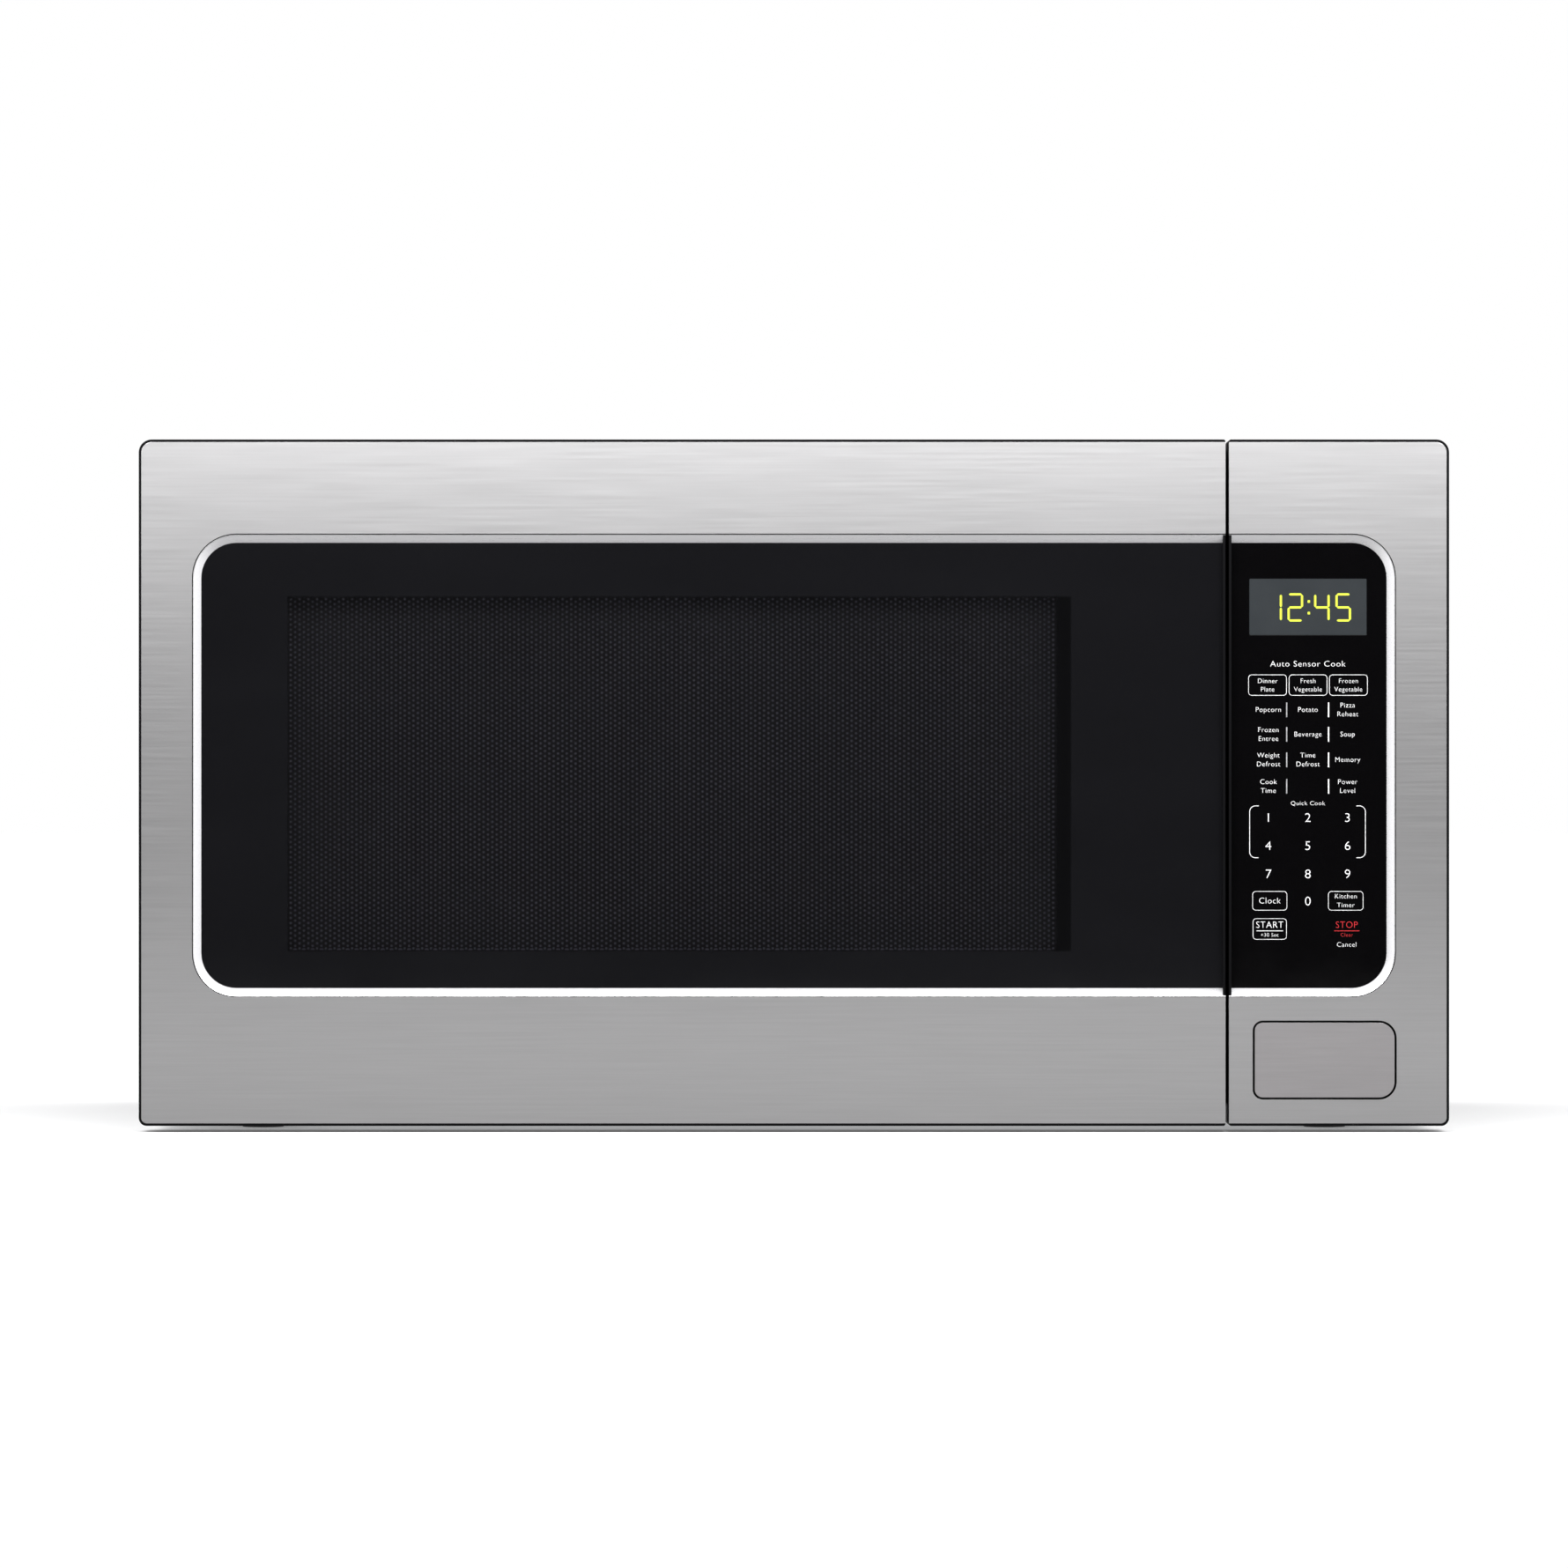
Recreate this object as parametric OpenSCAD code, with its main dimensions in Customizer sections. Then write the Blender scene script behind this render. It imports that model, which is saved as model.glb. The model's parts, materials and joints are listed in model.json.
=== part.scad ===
// Countertop microwave oven: steel cabinet, swing door, control column, turntable and inner works.
// Frame: +X to the right seen from the front, +Y to the rear, +Z up; origin on the counter,
// under the middle of the oven. Millimetres.

/* [Overall] */
// Width across the fascia
overall_w = 607; // [590:1:760]
// Depth from the front face to the rear bumpers
overall_d = 490; // [470:1:620]
// Height of the fascia
fascia_h = 318; // [300:1:400]
// Height of the fascia's lower edge above the counter
fascia_lift = 3; // [2:0.5:8]
// Height of the feet
foot_h = 12; // [10:1:20]

/* [Fascia] */
// Thickness of the door and the control column, front to back
fascia_t = 38; // [36:1:46]
// Width of the control column
column_w = 102; // [98:1:124]
// Gap between door and control column
door_gap = 1.6; // [1.2:0.1:3]
// Gap between the closed door and the front plate
seal_gap = 1.5; // [1.5:0.1:3]
// Width of the black edge round the steel
edge_w = 1.2; // [1:0.1:2]
// Radius of the fascia's top corners
top_r = 6; // [3:0.5:10]
// Radius of the fascia's bottom corners
bottom_r = 3.7; // [3:0.1:10]
// Steel band above the dark opening
band_top = 44; // [36:1:70]
// Steel band below the dark opening
band_bottom = 60; // [58:1:90]
// Steel band beside the dark opening
band_side = 25; // [15:1:26]
// Width of the rolled rim round the dark opening
rim_w = 3.8; // [2:0.1:6]
// Corner radius of the dark opening
glass_r = 16.3; // [6:0.1:30]
// Thickness of the stainless skins
skin_t = 0.8; // [0.6:0.1:1.2]
// Thickness of the moulded plastic walls
wall_t = 2.5; // [2:0.1:3.5]
// Thickness of the dark door glass
glass_t = 3; // [2:0.5:4]

/* [Display and release button] */
// Width of the display window
display_w = 54.5; // [40:0.5:66]
// Height of the display window
display_h = 26.2; // [18:0.2:34]
// Steel left of the button opening
button_left = 11; // [8:1:16]
// Steel right of the button opening
button_right = 24.3; // [15:0.1:30]
// Height of the button opening's lower edge above the fascia's
button_low = 12.2; // [10:0.1:20]
// Height of the button opening
button_h = 36.6; // [30:0.1:40]
// Gap round the button
button_gap = 1; // [0.6:0.1:2]
// Travel of the button
button_travel = 5; // [3:0.5:5]

/* [Cabinet and cavity] */
// How far the cabinet's side stands in from the fascia's
cabinet_inset = 3.5; // [2:0.5:4]
// How far the cabinet's top stands below the fascia's
cabinet_drop = 4; // [2:0.5:12]
// Height of the rear bumpers behind the cabinet
bumper_h = 6.2; // [4:0.2:12]
// Thickness of the cabinet and cavity sheet
sheet_t = 0.8; // [0.6:0.1:1.2]
// Thickness of the front plate and the base
plate_t = 1; // [0.8:0.1:1.6]
// Gap between the cabinet's left side and the cavity
left_gap = 15; // [14:1:24]
// Width of the component bay, from the cavity to the cabinet's side
bay_w = 145; // [142:1:190]
// Gap between the cavity's floor and the cabinet's underside
floor_gap = 18; // [17:1:26]
// Gap between the cavity's ceiling and the cabinet's top
ceiling_gap = 25; // [20:1:40]
// Gap between the cavity's rear wall and the back panel
rear_gap = 12; // [10:1:30]

/* [Turntable] */
// Gap between the glass tray and the cavity's walls
tray_gap = 13; // [8:1:30]
// Height of the rollers between floor and tray
roller_d = 14; // [12:1:20]
// Radius of the circle that the rollers run on
roller_track_r = 105; // [80:1:120]
// Gap above and below a roller
roller_gap = 0.2; // [0.1:0.05:0.4]
// Radial running clearance of shafts and pins
run_fit = 0.05; // [0.03:0.01:0.1]

/* [Door hinge and latch] */
// Distance of the hinge pin from the door's left face
pivot_side = 8; // [8:0.5:9]
// Distance of the hinge pin from the door's rear face
pivot_back = 12; // [12:0.5:14]
// Radius of the hinge pins
pin_r = 3; // [2.5:0.1:3]
// Thickness of the hinge leaves
leaf_t = 2.5; // [2:0.5:3]
// Distance of the latch hooks from the door's right edge
hook_inset = 20; // [18:1:24]
// How far the hooks lift
hook_lift = 5.6; // [5.6:0.1:7]
// Height of the upper hook above the lower
hook_pitch = 183; // [150:1:200]

/* [Hidden] */
$fn = 64;

cut = 1;                                  // overrun of every through cut
fit = 0.3;                                // gap between pieces that drop into each other

// fascia
face_x = [-overall_w / 2, overall_w / 2];
face_z = [fascia_lift, fascia_lift + fascia_h];
front_y = -overall_d / 2;
rear_y = overall_d / 2;
door_x = [face_x[0], face_x[1] - column_w - door_gap];
column_x = [face_x[1] - column_w, face_x[1]];
inner_r = 1;                              // corners beside the gap
door_back_y = front_y + fascia_t;
skin_y = [front_y, front_y + skin_t];
rim_recess = 0.4;                         // step from the steel face down to the rolled rim
rim_y = [front_y + rim_recess, front_y + 3.2];
glass_y = [rim_y[1], rim_y[1] + glass_t];
face_wall_y = [skin_y[1], skin_y[1] + wall_t];
ledge_y = [glass_y[1], glass_y[1] + 2];
ledge_w = 8;                              // how far the frame reaches behind the glass
glass_x = [face_x[0] + band_side + rim_w, face_x[1] - band_side - rim_w];
glass_z = [face_z[0] + band_bottom + rim_w, face_z[1] - band_top - rim_w];

// cabinet
front_plate_y = [door_back_y + seal_gap, door_back_y + seal_gap + plate_t];
cab_x = [face_x[0] + cabinet_inset, face_x[1] - cabinet_inset];
cab_z = [foot_h, face_z[1] - cabinet_drop];
cab_r = 6;                                // bend radius of the wrap
cab_inner_x = [cab_x[0] + sheet_t, cab_x[1] - sheet_t];
cab_rear_y = rear_y - bumper_h;
back_panel_y = [cab_rear_y - 2 * sheet_t, cab_rear_y - sheet_t];
base_z = [cab_z[0], cab_z[0] + plate_t];
rear_flange_w = 12;                       // turned-in edge of the wrap at the rear

// cavity
cav_x = [cab_x[0] + left_gap, cab_x[1] - bay_w];
cav_z = [cab_z[0] + floor_gap, cab_z[1] - ceiling_gap];
cav_y = [front_plate_y[1], back_panel_y[1] - rear_gap];
bay_x = [cav_x[1] + sheet_t, cab_inner_x[1]];
table_x = (cav_x[0] + cav_x[1]) / 2;
table_y = (cav_y[0] + cav_y[1]) / 2;

// hinge
pivot_x = door_x[0] + pivot_side;
pivot_y = door_back_y - pivot_back;
upper_leaf_z = [cab_z[1] - cab_r - 0.5 - leaf_t, cab_z[1] - cab_r - 0.5];
lower_leaf_z = [cab_z[0] - leaf_t, cab_z[0]];
leaf_gap = 1;                             // play above and below a leaf
flange_y = [front_plate_y[1], front_plate_y[1] + 2];
rail_w = pivot_side + 2;                  // closed section down the door's hinged edge
pin_h = 12;
bush_r = pin_r + 2.5;
bush_gap = 1;                             // gap between a bush and the leaf
notch_x = pivot_x + 9;
notch_y = pivot_y - 9;

// door inner works
screen_x = [glass_x[0] + 40, door_x[1] - 78];
screen_z = [glass_z[0] + 17.1, glass_z[1] - 24.9];
screen_lap = 5;                           // how far the screen laps onto the choke panel
screen_t = 0.6;
screen_inset = 24;                        // from the door's back to the screen's rear face
screen_y = [door_back_y - screen_inset - screen_t, door_back_y - screen_inset];
choke_y = [screen_y[1], screen_y[1] + 1.2];
cover_y = [door_back_y - 2, door_back_y];
channel_w = 14;                           // width of the choke channel
channel_x = [pivot_x + pin_r + 6, cav_x[1] + 6];
channel_z = [cav_z[0] - 6, cav_z[1] + 6];

// latch
hook_x = door_x[1] - hook_inset;
hook_t = 3;
hook_arm_h = 8;
barb_h = 5;
hook_tip_y = door_back_y + 24;
barb_l = 6;
lever_y = front_plate_y[1] + 6.5;         // lever's pivot
lever_z = face_z[0] + 47;
lever_r = 3;
lever_top = 6.7;                          // rear arm's upper face above the pivot
lever_reach = 11;                         // rear arm's tip behind the pivot
lower_hook_z = lever_z + lever_top + fit; // underside of the lower barb
upper_hook_z = lower_hook_z + hook_pitch;
slot_side = 4;                            // half width of the hook slots
latch_y = [front_plate_y[1], front_plate_y[1] + 2];
web_x = [hook_x + 6, hook_x + 8.5];

// release button
button_x = [column_x[0] + button_left, column_x[1] - button_right];
button_z = [face_z[0] + button_low, face_z[0] + button_low + button_h];
button_radii = [4.7, 8.2, 8.2, 4.7];
button_back_y = front_y + 22;
rod_x = button_x[0] + 12.5;
rod_z = lever_z - 14;
rod_r = 3;
rod_tip_y = lever_y - 2 - fit;
spring_r = 5.5;
spring_wire = 0.5;

// component bay
guide_y = cav_y[0] + 195;                 // magnetron end of the waveguide
guide_x = [bay_x[0], bay_x[0] + 36];
guide_span = [guide_y - 10, guide_y + 90];
guide_z = [cav_z[0] + 100, cav_z[0] + 255];
port_y = [guide_span[0] + 10, guide_span[1] - 10];
port_z = [guide_z[1] - 70, guide_z[1] - 10];
mag_x = [guide_x[1], guide_x[1] + 60];
mag_y = [guide_y, guide_y + 80];
mag_z = [guide_z[0] - 10, guide_z[0] + 60];
mag_sheet = 1.6;
antenna_y = guide_y + 40;
antenna_z = guide_z[0] + 25;
fan_x = cav_x[1] + 73;
fan_z = mag_z[0] + 35;
fan_r = 52;
fan_plate_y = [back_panel_y[0] - 38, back_panel_y[0] - 36.5];
shroud_l = 23;
sensor_x = cav_x[1] - 45;
gland_x = cab_x[1] - 50;
gland_z = cab_z[0] + 33;
cord_r = 4;                               // cord hole of the gland
board_x = [bay_x[0] + 18, bay_x[1] - 10];
board_z = [cav_z[1] - 66, cav_z[1] + 6];
board_y = [back_panel_y[0] - 8, back_panel_y[0] - 6.4];

// ---------------------------------------------------------------- helpers

// box between two corners, given as a [low, high] pair for each axis
module block(x, y, z) {
    translate([x[0], y[0], z[0]]) cube([x[1] - x[0], y[1] - y[0], z[1] - z[0]]);
}

// stands an X-Z outline up and gives it a depth along Y
module stand(y) {
    translate([0, y[1], 0]) rotate([90, 0, 0]) linear_extrude(y[1] - y[0]) children();
}

// gives a Y-Z outline a thickness along X
module across(x) {
    translate([x[0], 0, 0]) rotate([90, 0, 90]) linear_extrude(x[1] - x[0]) children();
}

// round bar along X, Y or Z
module bar_x(x, y, z, r) {
    translate([x[0], y, z]) rotate([0, 90, 0]) cylinder(h = x[1] - x[0], r = r);
}
module bar_y(x, y, z, r) {
    translate([x, y[0], z]) rotate([-90, 0, 0]) cylinder(h = y[1] - y[0], r = r);
}
module bar_z(x, y, z, r) {
    translate([x, y, z[0]]) cylinder(h = z[1] - z[0], r = r);
}

// flat rectangle with its own radius at each corner: bottom left, bottom right, top right, top left
module panel(x, z, r) {
    polygon([[x[0] + r[0], z[0]], [x[1] - r[1], z[0]], [x[1], z[0] + r[1]], [x[1], z[1] - r[2]],
        [x[1] - r[2], z[1]], [x[0] + r[3], z[1]], [x[0], z[1] - r[3]], [x[0], z[0] + r[0]]]);
    translate([x[0] + r[0], z[0] + r[0]]) circle(r[0]);
    translate([x[1] - r[1], z[0] + r[1]]) circle(r[1]);
    translate([x[1] - r[2], z[1] - r[2]]) circle(r[2]);
    translate([x[0] + r[3], z[1] - r[3]]) circle(r[3]);
}
module round_panel(x, z, r) { panel(x, z, [r, r, r, r]); }

// outline of the door or the column, drawn in by an inset
function less(r, inset) = max(r - inset, 0.5);
module door_outline(inset = 0) {
    panel([door_x[0] + inset, door_x[1] - inset], [face_z[0] + inset, face_z[1] - inset],
        [less(bottom_r, inset), less(inner_r, inset), less(inner_r, inset), less(top_r, inset)]);
}
module column_outline(inset = 0) {
    panel([column_x[0] + inset, column_x[1] - inset], [face_z[0] + inset, face_z[1] - inset],
        [less(inner_r, inset), less(bottom_r, inset), less(top_r, inset), less(inner_r, inset)]);
}

// outline of the dark opening that spans door and column
module glass_outline(grow = 0) {
    round_panel([glass_x[0] - grow, glass_x[1] + grow], [glass_z[0] - grow, glass_z[1] + grow],
        glass_r + grow);
}
module button_outline(inset = 0) {
    panel([button_x[0] + inset, button_x[1] - inset], [button_z[0] + inset, button_z[1] - inset],
        [for (r = button_radii) r - inset]);
}

// coil spring along +Z from the origin
module coil(r, wire, length, turns) {
    steps = 16;
    sides = 6;
    rings = turns * steps;
    points = [for (i = [0:rings], j = [0:sides - 1])
        let (a = 360 * i / steps, b = 360 * j / sides, reach = r + wire * cos(b))
        [reach * cos(a), reach * sin(a), wire + (length - 2 * wire) * i / rings + wire * sin(b)]];
    walls = [for (i = [0:rings - 1], j = [0:sides - 1])
        let (a = i * sides + j, b = i * sides + (j + 1) % sides)
        [a, b, b + sides, a + sides]];
    ends = [[for (j = [sides - 1:-1:0]) j], [for (j = [0:sides - 1]) rings * sides + j]];
    polyhedron(points, concat(walls, ends), convexity = 8);
}

// row and column of upright vent slots, as Y-Z or X-Z outlines
module vent_slots(start, pitch, count, size) {
    for (i = [0:count[0] - 1], j = [0:count[1] - 1])
        translate([start[0] + i * pitch[0], start[1] + j * pitch[1]])
            round_panel([0, size[0]], [0, size[1]], size[0] / 2 - 0.01);
}

// pan-head screw along +Y: the head ends at y, the shank runs on from there
module screw_y(x, y, z, shank, head_r = 4, head_h = 2, shank_r = 2) {
    bar_y(x, [y - head_h, y], z, head_r);
    bar_y(x, [y - cut, y + shank], z, shank_r);
}

// ---------------------------------------------------------------- cabinet

wrap_slot = [3, 24];
side_vent_y = cab_rear_y - 150;
side_vent_z = cab_z[0] + 45;
rear_screws = [for (x = [-0.44, -0.15, 0.15, 0.44]) [x * overall_w, cab_z[1] - 6]];
side_screws = [for (s = [-1, 1], z = [40, 190]) [s * (cab_x[1] - 6), cab_z[0] + z]];
screw_hole_r = 2.1;

module cabinet_wrap() {
    color("gray") difference() {
        union() {
            difference() {
                stand([front_plate_y[1], cab_rear_y])
                    panel(cab_x, cab_z, [0.5, 0.5, cab_r, cab_r]);
                stand([front_plate_y[1] - cut, cab_rear_y + cut])
                    panel(cab_inner_x, [cab_z[0] - cab_r, cab_z[1] - sheet_t],
                        [0.5, 0.5, cab_r - sheet_t, cab_r - sheet_t]);
            }
            difference() {
                stand([cab_rear_y - sheet_t, cab_rear_y])
                    panel(cab_x, cab_z, [0.5, 0.5, cab_r, cab_r]);
                stand([cab_rear_y - sheet_t - cut, cab_rear_y + cut])
                    panel([cab_x[0] + rear_flange_w, cab_x[1] - rear_flange_w],
                        [cab_z[0] - cab_r, cab_z[1] - rear_flange_w], [0.5, 0.5, 2, 2]);
            }
        }
        for (p = concat(rear_screws, side_screws))
            bar_y(p[0], [cab_rear_y - 2 * sheet_t, cab_rear_y + cut], p[1], screw_hole_r);
        across([cab_x[1] - 2 * sheet_t, cab_x[1] + cut])
            vent_slots([side_vent_y, side_vent_z], [9, 34], [14, 3], wrap_slot);
        across([cab_x[0] - cut, cab_x[0] + 2 * sheet_t])
            vent_slots([side_vent_y, side_vent_z + 102], [9, 34], [14, 2], wrap_slot);
    }
}

foot_x = cab_x[1] - 50;
foot_front_y = front_plate_y[1] + 45;
foot_rear_y = cab_rear_y - 45;
feet_at = [for (x = [-foot_x, foot_x], y = [foot_front_y, foot_rear_y]) [x, y]];
foot_r = 12;
foot_peg_r = 3;

module base_pan() {
    rail_h = 15;
    color("silver") difference() {
        union() {
            block(cab_inner_x, [front_plate_y[1], back_panel_y[0]], base_z);
            for (x = [cab_inner_x[0], cab_inner_x[1] - plate_t])
                block([x, x + plate_t], [front_plate_y[1], back_panel_y[0]],
                    [base_z[0], base_z[0] + rail_h]);
        }
        for (p = feet_at) bar_z(p[0], p[1], [base_z[0] - cut, base_z[1] + cut], foot_peg_r + 0.1);
        block([cab_inner_x[0] - cut, pivot_x + 7], [front_plate_y[1] - cut, flange_y[1] + fit],
            [base_z[0] - cut, base_z[0] + rail_h + cut]);
        translate([0, 0, base_z[0] - cut]) linear_extrude(plate_t + 2 * cut)
            vent_slots([bay_x[0] + 20, -10], [9, 34], [8, 2], wrap_slot);
    }
}

module feet() {
    color("black") for (p = feet_at) {
        translate([p[0], p[1], 0]) rotate_extrude()
            polygon([[0, 0], [foot_r - 2.5, 0], [foot_r - 1, 1.5], [foot_r, foot_h], [0, foot_h]]);
        bar_z(p[0], p[1], [foot_h - cut, base_z[1]], foot_peg_r);
    }
}

bumper_x = overall_w / 2 - 90;
bumper_z = [cab_z[0] + 60, cab_z[1] - 60];
bumper_r = 9;

module back_panel() {
    color("silver") difference() {
        union() {
            block(cab_inner_x, back_panel_y, [base_z[0], cab_z[1] - sheet_t - cab_r]);
            block([cab_inner_x[0] + cab_r, cab_inner_x[1] - cab_r], back_panel_y,
                [base_z[0], cab_z[1] - sheet_t]);
            for (x = [-bumper_x, bumper_x], z = bumper_z)
                bar_y(x, [back_panel_y[0], rear_y], z, bumper_r);
        }
        for (p = concat(rear_screws, side_screws))
            bar_y(p[0], [back_panel_y[0] - cut, back_panel_y[1] + cut], p[1], screw_hole_r);
        bar_y(gland_x, [back_panel_y[0] - cut, back_panel_y[1] + cut], gland_z, cord_r + 4.3);
        stand([back_panel_y[0] - cut, back_panel_y[1] + cut]) {
            vent_slots([fan_x - 47, fan_z - 50], [9, 34], [11, 3], wrap_slot);
            vent_slots([cav_x[0] + 60, cav_z[1] - 50], [9, 34], [14, 2], wrap_slot);
        }
    }
}

module cabinet_screws() {
    color("gray") for (p = concat(rear_screws, side_screws)) mirror([0, 1, 0])
        screw_y(p[0], -cab_rear_y, p[1], 6);
}

module cord_gland() {
    color("black") difference() {
        union() {
            bar_y(gland_x, [back_panel_y[0] - 6, back_panel_y[1] + 5], gland_z, cord_r + 4);
            bar_y(gland_x, [back_panel_y[1], back_panel_y[1] + 2.5], gland_z, cord_r + 8);
            bar_y(gland_x, [back_panel_y[0] - 2.5, back_panel_y[0]], gland_z, cord_r + 6);
        }
        bar_y(gland_x, [back_panel_y[0] - 7, back_panel_y[1] + 6], gland_z, cord_r);
    }
}

// slot outline for one hook, through the front plate and the choke cover
module hook_slot(z) {
    round_panel([hook_x - slot_side, hook_x + slot_side],
        [z - 1.5, z + barb_h + hook_arm_h + hook_lift + 1.5], 1);
}

module front_plate() {
    color("dimgray") difference() {
        stand(front_plate_y) panel(cab_x, cab_z, [2, 2, cab_r, cab_r]);
        stand([front_plate_y[0] - cut, front_plate_y[1] + cut]) {
            round_panel(cav_x, cav_z, 4);
            hook_slot(lower_hook_z);
            hook_slot(upper_hook_z);
            translate([rod_x, rod_z]) circle(rod_r + 1.5);
            round_panel([column_x[0] + 20, column_x[0] + 60], [glass_z[0] + 20, glass_z[0] + 40], 3);
        }
        for (z = [upper_leaf_z, lower_leaf_z])
            block([cab_x[0] - cut, pivot_x + 7], [front_plate_y[0] - cut, front_plate_y[1] + cut],
                [z[0] - 0.2, z[1] + 0.2]);
    }
}

// ---------------------------------------------------------------- cavity

module cavity_floor() {
    color("gainsboro") difference() {
        block([cav_x[0] - sheet_t, cav_x[1] + sheet_t], cav_y, [cav_z[0] - sheet_t, cav_z[0]]);
        bar_z(table_x, table_y, [cav_z[0] - 2, cav_z[0] + cut], 7);
    }
}
module cavity_ceiling() {
    color("gainsboro") difference() {
        block([cav_x[0] - sheet_t, cav_x[1] + sheet_t], cav_y, [cav_z[1], cav_z[1] + sheet_t]);
        for (i = [0:4], j = [0:4])
            bar_z(sensor_x - 10 + 5 * i, cav_y[1] - 60 + 5 * j, [cav_z[1] - cut, cav_z[1] + 2], 1.5);
    }
}
module cavity_left_wall() {
    color("gainsboro") difference() {
        block([cav_x[0] - sheet_t, cav_x[0]], cav_y, cav_z);
        for (i = [0:7], j = [0:4])
            bar_x([cav_x[0] - 2, cav_x[0] + cut], cav_y[1] - 80 + 6 * i, cav_z[1] - 50 + 6 * j, 1.5);
    }
}
module cavity_back_wall() {
    color("gainsboro") block([cav_x[0] - sheet_t, cav_x[1] + sheet_t], [cav_y[1], cav_y[1] + sheet_t],
        [cav_z[0] - sheet_t, cav_z[1] + sheet_t]);
}

lamp_y = cav_y[0] + 140;
lamp_z = cav_z[1] - 30;
module cavity_right_wall() {
    color("gainsboro") difference() {
        block([cav_x[1], cav_x[1] + sheet_t], cav_y, cav_z);
        block([cav_x[1] - cut, cav_x[1] + 2], port_y, port_z);
        for (i = [-3:3], j = [-2:2])
            bar_x([cav_x[1] - cut, cav_x[1] + 2], lamp_y + 6 * i, lamp_z + 6 * j, 1.5);
    }
}

module waveguide() {
    color("silver") difference() {
        block(guide_x, guide_span, guide_z);
        block([guide_x[0] - cut, guide_x[1] - sheet_t],
            [guide_span[0] + sheet_t, guide_span[1] - sheet_t],
            [guide_z[0] + sheet_t, guide_z[1] - sheet_t]);
        bar_x([guide_x[1] - 2, guide_x[1] + cut], antenna_y, antenna_z, 12);
    }
}
module waveguide_cover() {
    lap = 5;
    color("wheat") across([cav_x[1] - 0.6, cav_x[1]])
        round_panel([port_y[0] - lap, port_y[1] + lap], [port_z[0] - lap, port_z[1] + lap], 4);
}

// ---------------------------------------------------------------- high-voltage parts and fan

module magnetron_frame() {
    color("silver") difference() {
        union() {
            block(mag_x, mag_y, mag_z);
            block([mag_x[1], mag_x[1] + 28], [mag_y[0] + 10, mag_y[1] - 10],
                [mag_z[0] + 6, mag_z[1] - 6]);
        }
        block([mag_x[0] + mag_sheet, mag_x[1] - mag_sheet], [mag_y[0] - cut, mag_y[1] + cut],
            [mag_z[0] + mag_sheet, mag_z[1] - mag_sheet]);
        bar_x([mag_x[0] - cut, mag_x[0] + 3], antenna_y, antenna_z, 12);
    }
}
module magnetron_core() {
    fins = 7;
    pitch = (mag_x[1] - mag_x[0] - 12) / (fins - 1);
    color("peru") {
        bar_x([mag_x[0] + mag_sheet, mag_x[1] - mag_sheet], antenna_y, antenna_z, 20);
        bar_x([mag_x[0] - 16, mag_x[0] + 5], antenna_y, antenna_z, 8);
        for (i = [0:fins - 1])
            block([mag_x[0] + 6 + i * pitch - 0.4, mag_x[0] + 6 + i * pitch + 0.4],
                [mag_y[0] + 5, mag_y[1] - 5], [mag_z[0] + mag_sheet + 1, mag_z[1] - mag_sheet - 1]);
    }
}

trans_x = [bay_x[0] + 20, bay_x[0] + 115];
trans_y = [cav_y[0] + 105, cav_y[0] + 160];
trans_z = [base_z[1], base_z[1] + 76];
trans_leg = 14;                           // outer legs and yokes of the core
trans_mid = 30;                           // middle leg
trans_window = (trans_x[1] - trans_x[0] - 2 * trans_leg - trans_mid) / 2;
trans_c = (trans_x[0] + trans_x[1]) / 2;
module transformer_core() {
    color("dimgray") difference() {
        block(trans_x, trans_y, trans_z);
        for (s = [-1, 1]) translate([trans_c + s * (trans_mid + trans_window) / 2, 0, 0])
            block([-trans_window / 2, trans_window / 2], [trans_y[0] - cut, trans_y[1] + cut],
                [trans_z[0] + trans_leg, trans_z[1] - trans_leg]);
    }
}
module transformer_windings() {
    reach = trans_mid / 2 + trans_window - 1;
    z0 = trans_z[0] + trans_leg + 1;
    half = (trans_z[1] - trans_z[0] - 2 * trans_leg - 6) / 2;
    color("chocolate") for (k = [0, 1]) translate([0, 0, z0 + k * (half + 4)])
        linear_extrude(half) difference() {
            round_panel([trans_c - reach, trans_c + reach], [trans_y[0] - 14, trans_y[1] + 14], 8);
            round_panel([trans_c - trans_mid / 2 - 1, trans_c + trans_mid / 2 + 1],
                [trans_y[0] - 1, trans_y[1] + 1], 2);
        }
}

cap_y = [cav_y[0] + 215, cav_y[0] + 250];
module hv_capacitor() {
    x = [bay_x[0] + 18, bay_x[0] + 108];
    color("lightgray") {
        across(x) round_panel(cap_y, [base_z[1], base_z[1] + 55], 10);
        for (y = [cap_y[0] + 10, cap_y[1] - 10])
            bar_x([x[1] - cut, x[1] + 8], y, base_z[1] + 28, 4);
    }
}

module fan_housing() {
    mid = (fan_plate_y[0] + fan_plate_y[1]) / 2;
    color("dimgray") {
        difference() {
            block([bay_x[0] + 5, bay_x[1] - 5], fan_plate_y, [base_z[1], fan_z + 62]);
            bar_y(fan_x, [fan_plate_y[0] - cut, fan_plate_y[1] + cut], fan_z, fan_r - 3);
        }
        difference() {
            bar_y(fan_x, [fan_plate_y[0] - shroud_l, fan_plate_y[1]], fan_z, fan_r + 5);
            bar_y(fan_x, [fan_plate_y[0] - shroud_l - cut, fan_plate_y[1] + cut], fan_z, fan_r + 3);
        }
        difference() {
            union() {
                bar_y(fan_x, fan_plate_y, fan_z, 20);
                for (a = [30:120:270]) translate([fan_x, 0, fan_z]) rotate([0, a, 0])
                    block([0, fan_r], fan_plate_y, [-4, 4]);
            }
            bar_y(fan_x, [fan_plate_y[0] - cut, fan_plate_y[1] + cut], fan_z, 6);
        }
    }
}
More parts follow.
